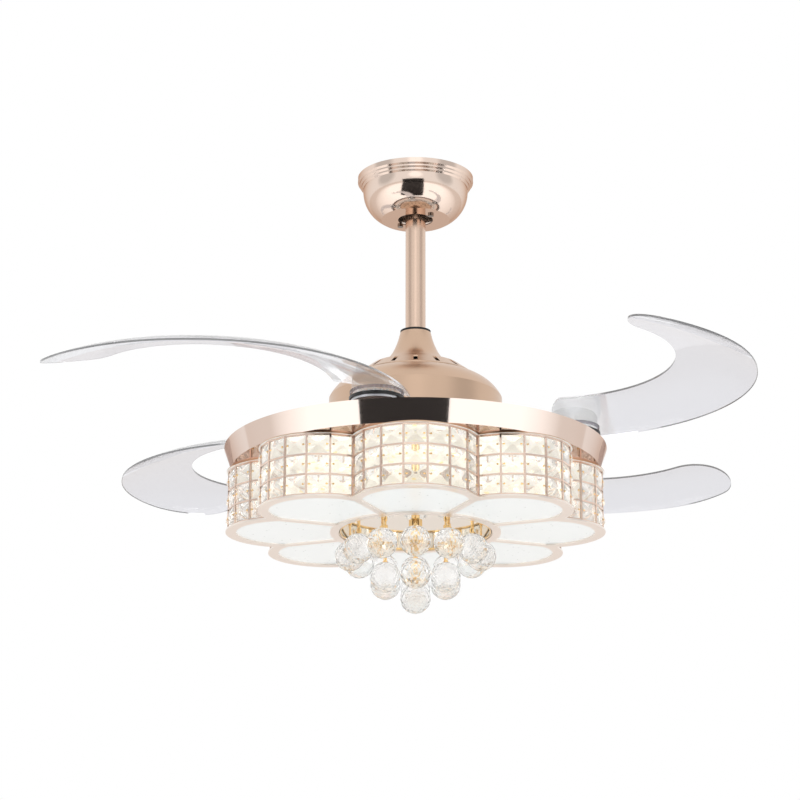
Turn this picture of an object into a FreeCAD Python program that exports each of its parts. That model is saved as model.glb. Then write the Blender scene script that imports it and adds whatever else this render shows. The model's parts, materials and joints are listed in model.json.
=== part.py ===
import FreeCAD
import Part
import Sketcher
import math
import os
import re

# Crystal ceiling fan with four folding sickle blades. Lengths in millimetres.
# The ceiling plane is z = 0, the fan hangs down along -Z, the front petal faces -Y.

SIZES = (
    # ceiling bracket and hanger ball
    ("bracket_length", 128),
    ("bracket_width", 50),
    ("bracket_sheet", 2.5),
    ("bracket_span", 72),
    ("seat_drop", 46),
    ("slot_spacing", 104),
    ("slot_length", 14),
    ("slot_width", 6.4),
    ("ball_radius", 26),
    ("ball_drop", 30),
    ("ball_flat_rise", 8),
    ("pin_radius", 3),
    ("receiver_length", 60),
    ("receiver_width", 30),
    ("receiver_height", 13),
    # canopy
    ("ceiling_gap", 0.5),
    ("canopy_radius", 78),
    ("canopy_lip", 7),
    ("canopy_step", 2.5),
    ("canopy_step_rise", 2),
    ("canopy_depth", 60),
    ("canopy_floor_radius", 46),
    ("canopy_bow", 44),
    ("canopy_wall", 1.2),
    ("canopy_hole_radius", 23.5),
    ("canopy_screw_circle", 29),
    ("canopy_screw_angle", -45),
    ("screw_radius", 2),
    ("screw_head_radius", 3.8),
    ("screw_head_height", 2.4),
    # downrod and its coupling
    ("rod_radius", 13.5),
    ("rod_wall", 2),
    ("rod_drop", 218),
    ("rod_insert", 20),
    ("seal_radius", 20.2),
    ("seal_thickness", 3),
    ("coupling_radius", 19),
    ("coupling_height", 40),
    # motor cover
    ("cover_neck_radius", 20.5),
    ("grub_drop", 6),
    ("cover_wall", 1.2),
    ("cover_height", 131),
    ("cover_radius", 114),
    ("flare_radius", 30.5),
    ("flare_drop", 28),
    ("neck_bow", 100),
    ("shoulder_radius", 60),
    ("shoulder_drop", 48),
    ("shoulder_bow", 38),
    ("vent_band_radius", 80),
    ("vent_band_drop", 62.5),
    ("vent_step", 1.5),
    ("dome_bow", 56),
    ("dome_drop", 92),
    ("vent_circle", 69.5),
    ("vent_width", 5.5),
    ("vent_length", 15),
    ("vent_count", 16),
    # motor
    ("shaft_radius", 9),
    ("shaft_bore", 5.5),
    ("motor_drop", 70),
    ("motor_height", 67),
    ("motor_radius", 78),
    ("motor_wall", 4),
    ("motor_flange", 88),
    ("motor_flange_thickness", 4),
    ("neck_radius", 45),
    ("neck_height", 18),
    ("bearing_radius", 20),
    ("bearing_width", 10),
    ("magnet_thickness", 6),
    ("air_gap", 0.6),
    ("stator_height", 34),
    ("stator_slot_inner", 34),
    ("stator_slot_outer", 60),
    ("stator_slot_width", 7),
    ("stator_slots", 18),
    ("winding_height", 8),
    ("housing_screw_circle", 83),
    ("housing_screws", 6),
    # blade carrier, pivots and synchronising gear
    ("pivot_circle", 210),
    ("pivot_angle", -13.13),
    ("carrier_thickness", 3),
    ("carrier_hub", 62),
    ("carrier_arm", 44),
    ("carrier_lobe", 33),
    ("carrier_screw_circle", 37),
    ("pad_radius", 34.5),
    ("pad_thickness", 4),
    ("post_radius", 6),
    ("post_spigot", 4),
    ("post_flange", 10),
    ("post_flange_thickness", 3),
    ("gear_module", 2.5),
    ("blade_teeth", 20),
    ("gear_thickness", 4),
    ("sync_rim", 22),
    ("sync_spoke", 34),
    ("sync_hub", 62),
    ("sync_sector_teeth", 11),
    ("spring_wire", 2.4),
    ("spring_turns", 2.5),
    ("spring_radius", 54),
    # blades
    ("blade_outer", 249.5),
    ("blade_inner", 152),
    ("blade_thickness", 2.5),
    ("blade_dip", 2.7),
    ("blade_slope", 0.271),
    ("blade_climb", 5),
    ("camber_radius", 221),
    ("blade_fold", 92),
    ("blade_margin", 8),
    ("boss_radius", 31),
    ("boss_cavity", 12.5),
    ("root_outer_angle", 3),
    ("root_inner_angle", 4),
    ("root_bow", 90),
    ("tip_start_angle", 107),
    ("tip_turn_angle", 128.75),
    ("tip_round", 45.5),
    # light pan
    ("pan_gap", 8.5),
    ("pan_depth", 28.5),
    ("pan_radius", 250),
    ("pan_flare", 10),
    ("pan_sheet", 1),
    ("nut_flats", 26),
    ("nut_height", 9),
    ("driver_length", 90),
    ("driver_width", 44),
    ("driver_height", 20),
    ("driver_offset", 78),
    # crystal drum
    ("lobe_radius", 79),
    ("lobe_half_angle", 76),
    ("petals", 8),
    ("columns", 7),
    ("rows", 3),
    ("row_pitch", 26),
    ("plate_sheet", 1.2),
    ("plate_lip", 1.6),
    ("cage_rail", 2.2),
    ("cage_depth", 3),
    ("post_width", 2.2),
    ("crystal_depth", 6),
    ("crystal_crown", 4.5),
    ("crystal_table", 3),
    ("frame_band", 12),
    ("frame_divider", 9),
    ("frame_sheet", 2),
    ("frame_ring", 11),
    ("tray_radius", 100),
    ("tray_height", 13),
    ("tray_sheet", 1),
    ("tray_flange", 7),
    ("diffuser_sheet", 2),
    ("diffuser_lap", 3),
    ("drum_hole", 40),
    ("drum_screw_circle", 150),
    ("board_inner", 45),
    ("board_outer", 178),
    ("board_sheet", 1.6),
    ("led_size", 5),
    ("led_height", 1),
    ("led_circle", 140),
    ("led_rows", 40),
    # hanging crystal balls
    ("bead_inset", 15),
    ("bead_gap", 2),
    ("upper_count", 12),
    ("upper_drop", 45),
    ("middle_count", 6),
    ("middle_drop", 78),
    ("lowest_drop", 101),
    ("wire_radius", 1),
    ("wire_head", 2.6),
    # clearances
    ("fit", 0.1),
    ("run_gap", 0.3),
    ("side_play", 1),
)

doc = FreeCAD.newDocument("crystal_ceiling_fan")
sheet = doc.addObject("Spreadsheet::Sheet", "Sizes")
for row, (alias, number) in enumerate(SIZES, 1):
    sheet.set("A%d" % row, alias)
    sheet.set("B%d" % row, str(number))
    sheet.setAlias("B%d" % row, alias)
doc.recompute()

WORDS = re.compile(r"\b(" + "|".join(alias for alias, number in SIZES) + r")\b")
Vector = FreeCAD.Vector
UP = Vector(0, 0, 1)
ACROSS = Vector(1, 0, 0)
ALONG = Vector(0, 1, 0)
HERE = Vector(0, 0, 0)
nodes = {}


def sized(text):
    """The text of a size with its sheet in front of every name."""
    return WORDS.sub(r"Sizes.\1", text)


def val(text):
    """The number that a size comes to."""
    return float(sheet.evalExpression(sized(text)))


def bind(thing, prop, text):
    thing.setExpression(prop, sized(text))


def turn(angle, axis=UP, about=HERE):
    """A turn by so many degrees about an axis through a point."""
    return FreeCAD.Placement(HERE, FreeCAD.Rotation(axis, angle), about)


def shift(x, y, z):
    return FreeCAD.Placement(Vector(x, y, z), FreeCAD.Rotation())


def arc_between(start, end, radius, side):
    """The short arc from start to end, its centre left (1) or right (-1) of the way."""
    chord = end - start
    half = chord.Length / 2
    left = Vector(-chord.y, chord.x, 0).normalize()
    centre = (start + end) * 0.5 + left * (side * math.sqrt(max(radius ** 2 - half ** 2, 0)))
    first, last = (start, end) if side > 0 else (end, start)
    begin = math.atan2(first.y - centre.y, first.x - centre.x)
    finish = math.atan2(last.y - centre.y, last.x - centre.x)
    return Part.ArcOfCircle(Part.Circle(centre, UP, radius), begin, finish)


def draw(sketch, corners):
    """A closed outline of bound corners; a third entry bows the edge that leaves a corner."""
    places = [Vector(val(c[0]), val(c[1]), 0) for c in corners]
    count = len(corners)
    shapes = []
    ends = []
    for i, corner in enumerate(corners):
        start = places[i]
        end = places[(i + 1) % count]
        if len(corner) > 2:
            shapes.append(arc_between(start, end, val(corner[2]), corner[3]))
            ends.append((1, 2) if corner[3] > 0 else (2, 1))
        else:
            shapes.append(Part.LineSegment(start, end))
            ends.append((1, 2))
    ids = list(sketch.addGeometry(shapes, False))
    rules = []
    sizes = []
    for i, corner in enumerate(corners):
        after = (i + 1) % count
        rules.append(Sketcher.Constraint("Coincident", ids[i], ends[i][1], ids[after], ends[after][0]))
        sizes.append(None)
        rules.append(Sketcher.Constraint("DistanceX", -1, 1, ids[i], ends[i][0], places[i].x))
        sizes.append(corner[0])
        rules.append(Sketcher.Constraint("DistanceY", -1, 1, ids[i], ends[i][0], places[i].y))
        sizes.append(corner[1])
        if len(corner) > 2:
            rules.append(Sketcher.Constraint("Radius", ids[i], val(corner[2])))
            sizes.append(corner[2])
    for number, size in zip(sketch.addConstraint(rules), sizes):
        if size is not None:
            sketch.setExpression("Constraints[%d]" % number, sized(size))


def draw_circle(sketch, x, y, radius):
    number = sketch.addGeometry(Part.Circle(Vector(val(x), val(y), 0), UP, val(radius)), False)
    rules = (
        Sketcher.Constraint("DistanceX", -1, 1, number, 3, val(x)),
        Sketcher.Constraint("DistanceY", -1, 1, number, 3, val(y)),
        Sketcher.Constraint("Radius", number, val(radius)),
    )
    for rule, size in zip(sketch.addConstraint(list(rules)), (x, y, radius)):
        sketch.setExpression("Constraints[%d]" % rule, sized(size))


def new_body(name):
    body = doc.addObject("PartDesign::Body", name)
    body.Label = name
    return body


def new_sketch(body, plane, level=None):
    sketch = body.newObject("Sketcher::SketchObject", "outline")
    ground = [f for f in body.Origin.OriginFeatures if f.Role == plane + "_Plane"][0]
    sketch.AttachmentSupport = [(ground, "")]
    sketch.MapMode = "FlatFace"
    if level is not None:
        bind(sketch, "AttachmentOffset.Base.z", level)
    return sketch


def revolve(body, corners):
    """A turned solid; corners give radius and height."""
    sketch = new_sketch(body, "XZ")
    draw(sketch, corners)
    turned = body.newObject("PartDesign::Revolution", "turned")
    turned.Profile = sketch
    turned.ReferenceAxis = (sketch, ["V_Axis"])
    turned.Angle = 360
    return turned


def ring(body, inner, outer, bottom, top):
    return revolve(body, ((inner, bottom), (outer, bottom), (outer, top), (inner, top)))


def pad(body, sketch, height):
    raised = body.newObject("PartDesign::Pad", "raised")
    raised.Profile = sketch
    bind(raised, "Length", height)
    return raised


def pocket(body, sketch, reach):
    """A cut of the given reach, half to each side of the sketch."""
    cut = body.newObject("PartDesign::Pocket", "cut")
    cut.Profile = sketch
    cut.Midplane = True
    bind(cut, "Length", reach)
    return cut


def around(body, feature, sketch, count):
    pattern = body.newObject("PartDesign::PolarPattern", "around")
    pattern.Originals = [feature]
    pattern.Axis = (sketch, ["N_Axis"])
    pattern.Angle = 360
    bind(pattern, "Occurrences", count)
    body.Tip = pattern
    return pattern


def drill(body, plane, level, x, y, radius, reach):
    sketch = new_sketch(body, plane, level)
    draw_circle(sketch, x, y, radius)
    return pocket(body, sketch, reach), sketch


def keep(name, thing):
    thing.Label = name
    nodes[name] = thing
    return thing


def spread(name, source, placements):
    """A group of equal solids, each a placed copy of one source piece."""
    doc.recompute()
    solids = []
    for place in placements:
        copy = source.Shape.copy()
        copy.Placement = place.multiply(copy.Placement)
        solids.append(copy)
    group = doc.addObject("Part::Feature", name)
    group.Shape = solids[0] if len(solids) == 1 else Part.makeCompound(solids)
    return keep(name, group)


def screw(name, length):
    """A cheese-head screw that points up, its head below z = 0."""
    body = new_body(name)
    revolve(body, (
        ("0", "-screw_head_height"),
        ("screw_head_radius", "-screw_head_height"),
        ("screw_head_radius", "0"),
        ("screw_radius", "0"),
        ("screw_radius", length),
        ("0", length),
    ))
    return body


# Heights, from the ceiling down
SEAT_MID = "-(seat_drop - bracket_sheet / 2)"
BALL_Z = "-ball_drop"
ROD_TOP = "-(ball_drop - ball_flat_rise)"
COVER_TOP = "-(rod_drop + seal_thickness)"
ROD_END = "-(rod_drop + seal_thickness + rod_insert)"
COUPLING_END = "-(rod_drop + seal_thickness + coupling_height)"
PIN_Z = "-(rod_drop + seal_thickness + rod_insert / 2)"
MOTOR_TOP = "-(rod_drop + seal_thickness + motor_drop)"
SPLIT = "-(rod_drop + seal_thickness + motor_drop + motor_height / 2)"
MOTOR_END = "-(rod_drop + seal_thickness + motor_drop + motor_height)"
CARRIER = "-(rod_drop + seal_thickness + motor_drop + motor_height + neck_height)"
CARRIER_END = CARRIER + " - carrier_thickness"
PAD_TOP = CARRIER + " + pad_thickness"
GEAR_END = PAD_TOP + " + run_gap"
GEAR_TOP = GEAR_END + " + gear_thickness"
BLADE_Z = GEAR_TOP + " - blade_dip"
PAN_TOP = CARRIER + " - pan_gap"
PAN_END = PAN_TOP + " - pan_depth"
PAN_FLOOR = PAN_END + " + pan_sheet"
DRUM_END = PAN_END + " - plate_sheet"
CAGE_HEIGHT = "(rows * row_pitch)"
FRAME_TOP = DRUM_END + " - " + CAGE_HEIGHT
FRAME_END = FRAME_TOP + " - frame_sheet"
TRAY_TOP = FRAME_TOP + " + tray_height"

# Ceiling bracket: a cross bar with two slots and a loop that carries the hanger ball
body = new_body("ceiling_bracket")
outline = new_sketch(body, "XZ")
BAR = "bracket_length / 2"
LEG = "bracket_span / 2"
draw(outline, (
    ("-" + BAR, "0"),
    ("-" + BAR, "-bracket_sheet"),
    ("-" + LEG, "-bracket_sheet"),
    ("-" + LEG, "-seat_drop"),
    (LEG, "-seat_drop"),
    (LEG, "-bracket_sheet"),
    (BAR, "-bracket_sheet"),
    (BAR, "0"),
))
LEG_IN = "(bracket_span / 2 - bracket_sheet)"
SEAT_TOP = "-(seat_drop - bracket_sheet)"
draw(outline, (
    ("-" + LEG_IN, "-bracket_sheet"),
    (LEG_IN, "-bracket_sheet"),
    (LEG_IN, SEAT_TOP),
    ("-" + LEG_IN, SEAT_TOP),
))
strap = pad(body, outline, "bracket_width")
strap.Midplane = True
outline = new_sketch(body, "XZ")
SEAT_BALL = "(ball_radius + fit)"
draw(outline, (
    ("0", BALL_Z),
    ("0", BALL_Z + " - " + SEAT_BALL, SEAT_BALL, 1),
    (SEAT_BALL, BALL_Z),
))
seat = body.newObject("PartDesign::Groove", "ball_seat")
seat.Profile = outline
seat.ReferenceAxis = (outline, ["V_Axis"])
seat.Angle = 360
outline = new_sketch(body, "XY", SEAT_MID)
ENTRY = "(rod_radius + side_play)"
draw(outline, (
    ("-" + ENTRY, "0"),
    (ENTRY, "0"),
    (ENTRY, "bracket_width"),
    ("-" + ENTRY, "bracket_width"),
))
pocket(body, outline, "2 * bracket_sheet")
SLOT_IN = "(slot_spacing - slot_length + slot_width) / 2"
SLOT_OUT = "(slot_spacing + slot_length - slot_width) / 2"
outline = new_sketch(body, "XY", "0")
draw(outline, (
    (SLOT_IN, "-slot_width / 2"),
    (SLOT_OUT, "-slot_width / 2"),
    (SLOT_OUT, "slot_width / 2"),
    (SLOT_IN, "slot_width / 2"),
))
slots = pocket(body, outline, "3 * bracket_sheet")
around(body, slots, outline, "2")
for place in (SLOT_IN, SLOT_OUT):
    slots, outline = drill(body, "XY", "0", place, "0", "slot_width / 2", "3 * bracket_sheet")
    around(body, slots, outline, "2")
SCREW_X = "canopy_screw_circle * cos(canopy_screw_angle)"
SCREW_Y = "canopy_screw_circle * sin(canopy_screw_angle)"
holes, outline = drill(body, "XY", SEAT_MID, SCREW_X, SCREW_Y, "screw_radius + fit", "2 * bracket_sheet")
around(body, holes, outline, "2")
keep("ceiling_bracket", body)

# Remote receiver, held flat against the underside of the cross bar
body = new_body("remote_receiver")
outline = new_sketch(body, "XY", "-(bracket_sheet + receiver_height)")
draw(outline, (
    ("-receiver_length / 2", "-receiver_width / 2"),
    ("receiver_length / 2", "-receiver_width / 2"),
    ("receiver_length / 2", "receiver_width / 2"),
    ("-receiver_length / 2", "receiver_width / 2"),
))
pad(body, outline, "receiver_height")
keep("remote_receiver", body)

# Canopy: rolled lip, two small steps, bowl and a flat floor with the rod hole
body = new_body("canopy")
STEP_A = "(canopy_lip + canopy_step_rise)"
STEP_B = "(canopy_lip + 2 * canopy_step_rise)"
STEP_C = "(canopy_lip + 3 * canopy_step_rise)"
STEP_D = "(canopy_lip + 4 * canopy_step_rise)"
STEP_E = "(canopy_lip + 5 * canopy_step_rise)"
BOWL = "(canopy_radius - 3 * canopy_step)"
revolve(body, (
    ("canopy_hole_radius", "-canopy_depth"),
    ("canopy_floor_radius", "-canopy_depth", "canopy_bow", 1),
    (BOWL, "-" + STEP_E),
    ("canopy_radius - 2 * canopy_step", "-" + STEP_D),
    ("canopy_radius - 2 * canopy_step", "-" + STEP_C),
    ("canopy_radius - canopy_step", "-" + STEP_B),
    ("canopy_radius - canopy_step", "-" + STEP_A),
    ("canopy_radius", "-canopy_lip"),
    ("canopy_radius", "-ceiling_gap"),
    ("canopy_radius - canopy_wall", "-ceiling_gap"),
    ("canopy_radius - canopy_wall", "-canopy_lip + canopy_wall"),
    ("canopy_radius - canopy_step - canopy_wall", "-" + STEP_A + " + canopy_wall"),
    ("canopy_radius - canopy_step - canopy_wall", "-" + STEP_B + " + canopy_wall"),
    ("canopy_radius - 2 * canopy_step - canopy_wall", "-" + STEP_C + " + canopy_wall"),
    ("canopy_radius - 2 * canopy_step - canopy_wall", "-" + STEP_D + " + canopy_wall"),
    (BOWL + " - canopy_wall", "-" + STEP_E + " + canopy_wall", "canopy_bow - canopy_wall", -1),
    ("canopy_floor_radius", "-canopy_depth + canopy_wall"),
    ("canopy_hole_radius", "-canopy_depth + canopy_wall"),
))
holes, outline = drill(body, "XY", "-canopy_depth", SCREW_X, SCREW_Y, "screw_radius + fit",
                       "4 * canopy_wall")
around(body, holes, outline, "2")
keep("canopy", body)

proto = screw("canopy_screw", "canopy_depth - seat_drop + bracket_sheet + screw_radius")
half_turn = (0, 180)
spread("canopy_screws", proto, [
    turn(spin).multiply(shift(val(SCREW_X), val(SCREW_Y), -val("canopy_depth"))) for spin in half_turn])

# Hanger ball with its cross pin
body = new_body("hanger_ball")
BORE = "(rod_radius + fit)"
FLAT_R = "sqrt(ball_radius ^ 2 - ball_flat_rise ^ 2)"
revolve(body, (
    (BORE, BALL_Z + " - sqrt(ball_radius ^ 2 - " + BORE + " ^ 2)", "ball_radius", 1),
    (FLAT_R, ROD_TOP),
    (BORE, ROD_TOP),
))
drill(body, "XZ", "0", "0", BALL_Z, "pin_radius + fit", "4 * ball_radius")
keep("hanger_ball", body)


def cross_pin(name, height, length):
    """A round pin along Y through the axis."""
    pin = doc.addObject("Part::Cylinder", name)
    bind(pin, "Radius", "pin_radius")
    bind(pin, "Height", length)
    pin.Placement = FreeCAD.Placement(HERE, FreeCAD.Rotation(ACROSS, -90))
    bind(pin, "Placement.Base.y", "-(" + length + ") / 2")
    bind(pin, "Placement.Base.z", height)
    return keep(name, pin)


cross_pin("hanger_pin", BALL_Z, "2 * ball_radius - 4 * side_play")

# Downrod, a steel tube with a pin hole at each end
body = new_body("downrod")
ring(body, "rod_radius - rod_wall", "rod_radius", ROD_END, ROD_TOP)
drill(body, "XZ", "0", "0", BALL_Z, "pin_radius + fit", "4 * rod_radius")
drill(body, "XZ", "0", "0", PIN_Z, "pin_radius + fit", "4 * rod_radius")
keep("downrod", body)

body = new_body("rod_seal")
ring(body, BORE, "seal_radius", COVER_TOP, "-rod_drop")
keep("rod_seal", body)

# Coupling that joins rod and motor shaft, and carries the cover
body = new_body("rod_coupling")
revolve(body, (
    (BORE, COVER_TOP),
    (BORE, ROD_END),
    ("shaft_radius + fit", ROD_END),
    ("shaft_radius + fit", COUPLING_END),
    ("coupling_radius", COUPLING_END),
    ("coupling_radius", COVER_TOP),
))
drill(body, "XZ", "0", "0", PIN_Z, "pin_radius + fit", "4 * coupling_radius")
GRUB_Z = COVER_TOP + " - grub_drop"
drill(body, "YZ", "0", "0", GRUB_Z, "screw_radius + fit", "4 * coupling_radius")
keep("rod_coupling", body)
cross_pin("coupling_pin", PIN_Z, "2 * coupling_radius - 2 * side_play")

# Motor cover: flared neck, trumpet, vented band, small step and dome
body = new_body("motor_cover")
FLARE_Z = COVER_TOP + " - flare_drop"
SHOULDER_Z = COVER_TOP + " - shoulder_drop"
BAND_Z = COVER_TOP + " - vent_band_drop"
DOME_Z = COVER_TOP + " - dome_drop"
COVER_END = COVER_TOP + " - cover_height"
revolve(body, (
    ("cover_neck_radius - cover_wall", COVER_TOP, "neck_bow + cover_wall", 1),
    ("flare_radius - cover_wall", FLARE_Z + " - cover_wall", "shoulder_bow + cover_wall", 1),
    ("shoulder_radius - cover_wall", SHOULDER_Z + " - cover_wall"),
    ("vent_band_radius - cover_wall", BAND_Z + " - cover_wall"),
    ("vent_band_radius - cover_wall", BAND_Z + " - vent_step - cover_wall", "dome_bow - cover_wall", -1),
    ("cover_radius - cover_wall", DOME_Z),
    ("cover_radius - cover_wall", COVER_END),
    ("cover_radius", COVER_END),
    ("cover_radius", DOME_Z, "dome_bow", 1),
    ("vent_band_radius", BAND_Z + " - vent_step"),
    ("vent_band_radius", BAND_Z),
    ("shoulder_radius", SHOULDER_Z, "shoulder_bow", -1),
    ("flare_radius", FLARE_Z, "neck_bow", -1),
    ("cover_neck_radius", COVER_TOP),
))
outline = new_sketch(body, "XY", SHOULDER_Z)
VENT_NEAR = "-(vent_circle - vent_length / 2)"
VENT_FAR = "-(vent_circle + vent_length / 2)"
draw(outline, (
    ("-vent_width / 2", VENT_FAR),
    ("vent_width / 2", VENT_FAR),
    ("vent_width / 2", VENT_NEAR),
    ("-vent_width / 2", VENT_NEAR),
))
vents = pocket(body, outline, "2 * vent_band_drop")
around(body, vents, outline, "vent_count")
drill(body, "YZ", "0", "0", GRUB_Z, "screw_radius + fit", "4 * cover_neck_radius")
keep("motor_cover", body)

grub = doc.addObject("Part::Cylinder", "cover_screw")
bind(grub, "Radius", "screw_radius")
bind(grub, "Height", "cover_neck_radius + cover_wall - rod_radius - 2 * side_play")
grub.Placement = FreeCAD.Placement(HERE, FreeCAD.Rotation(ALONG, 90))
bind(grub, "Placement.Base.x", "rod_radius + 2 * side_play")
bind(grub, "Placement.Base.z", GRUB_Z)
spread("cover_screws", grub, [turn(spin) for spin in half_turn])

# Motor: hollow fixed shaft, stator, and an outer rotor of two shells on two bearings
SHAFT_END = PAN_END + " - 2 * nut_height"
body = new_body("motor_shaft")
ring(body, "shaft_bore", "shaft_radius", SHAFT_END, COUPLING_END + " + rod_insert - side_play")
keep("motor_shaft", body)

STATOR_R = "(motor_radius - motor_wall - magnet_thickness - air_gap)"
STATOR_TOP = SPLIT + " + stator_height / 2"
STATOR_END = SPLIT + " - stator_height / 2"
body = new_body("stator_core")
outline = new_sketch(body, "XY", STATOR_END)
draw_circle(outline, "0", "0", STATOR_R)
draw_circle(outline, "0", "0", "shaft_radius + fit")
pad(body, outline, "stator_height")
outline = new_sketch(body, "XY", SPLIT)
draw(outline, (
    ("stator_slot_inner", "-stator_slot_width / 2"),
    ("stator_slot_outer", "-stator_slot_width / 2"),
    ("stator_slot_outer", "stator_slot_width / 2"),
    ("stator_slot_inner", "stator_slot_width / 2"),
))
slots = pocket(body, outline, "2 * stator_height")
around(body, slots, outline, "stator_slots")
keep("stator_core", body)

body = new_body("winding_end")
ring(body, "stator_slot_inner", "stator_slot_outer", "0", "winding_height")
spread("stator_windings", body, [
    shift(0, 0, val(STATOR_TOP)), shift(0, 0, val(STATOR_END + " - winding_height"))])

RUN_R = "(shaft_radius + run_gap)"
BEARING_A = MOTOR_TOP + " - motor_wall"
BEARING_B = CARRIER + " + motor_wall"
body = new_body("rotor_shell_top")
revolve(body, (
    (RUN_R, MOTOR_TOP),
    (RUN_R, BEARING_A),
    ("bearing_radius + fit", BEARING_A),
    ("bearing_radius + fit", BEARING_A + " - bearing_width"),
    ("bearing_radius + motor_wall", BEARING_A + " - bearing_width"),
    ("bearing_radius + motor_wall", BEARING_A),
    ("motor_radius - motor_wall", BEARING_A),
    ("motor_radius - motor_wall", SPLIT),
    ("motor_flange", SPLIT),
    ("motor_flange", SPLIT + " + motor_flange_thickness"),
    ("motor_radius", SPLIT + " + motor_flange_thickness"),
    ("motor_radius", MOTOR_TOP),
))
holes, outline = drill(body, "XY", SPLIT, "housing_screw_circle", "0", "screw_radius + fit",
                       "4 * motor_flange_thickness")
around(body, holes, outline, "housing_screws")
keep("rotor_shell_top", body)

body = new_body("rotor_shell_base")
revolve(body, (
    ("motor_radius - motor_wall", SPLIT),
    ("motor_flange", SPLIT),
    ("motor_flange", SPLIT + " - motor_flange_thickness"),
    ("motor_radius", SPLIT + " - motor_flange_thickness"),
    ("motor_radius", MOTOR_END),
    ("neck_radius", MOTOR_END),
    ("neck_radius", CARRIER),
    (RUN_R, CARRIER),
    (RUN_R, BEARING_B),
    ("bearing_radius + fit", BEARING_B),
    ("bearing_radius + fit", MOTOR_END + " + motor_wall"),
    ("motor_radius - motor_wall", MOTOR_END + " + motor_wall"),
))
holes, outline = drill(body, "XY", SPLIT, "housing_screw_circle", "0", "screw_radius + fit",
                       "4 * motor_flange_thickness")
around(body, holes, outline, "housing_screws")
CARRIER_SCREW = "2 * carrier_thickness"
holes, outline = drill(body, "XY", CARRIER, "carrier_screw_circle", "0", "screw_radius + fit",
                       "4 * carrier_thickness")
around(body, holes, outline, "4")
bind(body, "Placement.Rotation.Angle", "pivot_angle + 45")
keep("rotor_shell_base", body)
bind(nodes["rotor_shell_top"], "Placement.Rotation.Angle", "pivot_angle + 45")

body = new_body("bearing")
ring(body, RUN_R, "bearing_radius", "0", "bearing_width")
spread("motor_bearings", body, [
    shift(0, 0, val(BEARING_A + " - bearing_width")), shift(0, 0, val(BEARING_B))])

body = new_body("rotor_magnets")
ring(body, STATOR_R + " + air_gap", "motor_radius - motor_wall", STATOR_END, STATOR_TOP)
keep("rotor_magnets", body)


def face_up(place):
    """The same place with the screw pointing down."""
    return place.multiply(turn(180, ACROSS))


proto = screw("housing_screw", "2 * motor_flange_thickness")
spread("housing_screws", proto, [
    face_up(turn(val("pivot_angle + 45") + 360 * i / val("housing_screws")).multiply(
        shift(val("housing_screw_circle"), 0, val(SPLIT + " + motor_flange_thickness"))))
    for i in range(int(val("housing_screws")))])

# Blade carrier: a hub with four arms, pivot posts and their black pads
quarter = (0, 90, 180, 270)
body = new_body("blade_carrier")
outline = new_sketch(body, "XY", CARRIER_END)
draw_circle(outline, "0", "0", "carrier_hub")
draw_circle(outline, "0", "0", RUN_R + " + side_play")
pad(body, outline, "carrier_thickness")
outline = new_sketch(body, "XY", CARRIER_END)
ARM_IN = "(neck_radius - side_play)"
ARM_OUT = "(pivot_circle - carrier_lobe / 2)"
LOBE_W = "(sqrt(3) / 2 * carrier_lobe)"
draw(outline, (
    (ARM_IN, "-carrier_arm / 2"),
    (ARM_OUT, "-" + LOBE_W),
    ("pivot_circle + carrier_lobe / 2", "-" + LOBE_W, "carrier_lobe", 1),
    ("pivot_circle + carrier_lobe / 2", LOBE_W),
    (ARM_OUT, LOBE_W),
    (ARM_IN, "carrier_arm / 2"),
))
arm = pad(body, outline, "carrier_thickness")
around(body, arm, outline, "4")
holes, outline = drill(body, "XY", CARRIER, "pivot_circle", "0", "post_spigot + fit",
                       "4 * carrier_thickness")
around(body, holes, outline, "4")
DIAGONAL = "carrier_screw_circle * cos(45)"
holes, outline = drill(body, "XY", CARRIER, DIAGONAL, DIAGONAL, "screw_radius + fit",
                       "4 * carrier_thickness")
around(body, holes, outline, "4")
bind(body, "Placement.Rotation.Angle", "pivot_angle")
keep("blade_carrier", body)

proto = screw("carrier_screw", CARRIER_SCREW)
spread("carrier_screws", proto, [
    turn(val("pivot_angle + 45") + spin).multiply(shift(val("carrier_screw_circle"), 0, val(CARRIER_END)))
    for spin in quarter])


def at_pivot(spin, inner=None):
    """The place of one pivot, with an optional turn about the pivot itself."""
    place = turn(val("pivot_angle") + spin)
    if inner is not None:
        place = place.multiply(turn(inner, UP, Vector(val("pivot_circle"), 0, 0)))
    return place


def on_pivot(spin):
    return at_pivot(spin).multiply(shift(val("pivot_circle"), 0, 0))


FLANGE_Z = GEAR_TOP + " + run_gap"
body = new_body("pivot_post")
revolve(body, (
    ("0", CARRIER_END),
    ("post_spigot", CARRIER_END),
    ("post_spigot", CARRIER),
    ("post_radius", CARRIER),
    ("post_radius", FLANGE_Z),
    ("post_flange", FLANGE_Z),
    ("post_flange", FLANGE_Z + " + post_flange_thickness"),
    ("0", FLANGE_Z + " + post_flange_thickness"),
))
spread("pivot_posts", body, [on_pivot(spin) for spin in quarter])

body = new_body("pivot_pad")
ring(body, "post_radius + fit", "pad_radius", CARRIER, PAD_TOP)
spread("pivot_pads", body, [on_pivot(spin) for spin in quarter])

# Toothed gears: half widths of a tooth at root, pitch and tip as shares of the module
small_tooth_shares = (0.98, 0.70, 0.34)
large_tooth_shares = (1.12, 0.70, 0.38)
root_share = 1.2
tip_share = 0.95
BLADE_PITCH = "(gear_module * blade_teeth / 2)"
SYNC_PITCH = "(pivot_circle - gear_module * blade_teeth / 2)"


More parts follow.
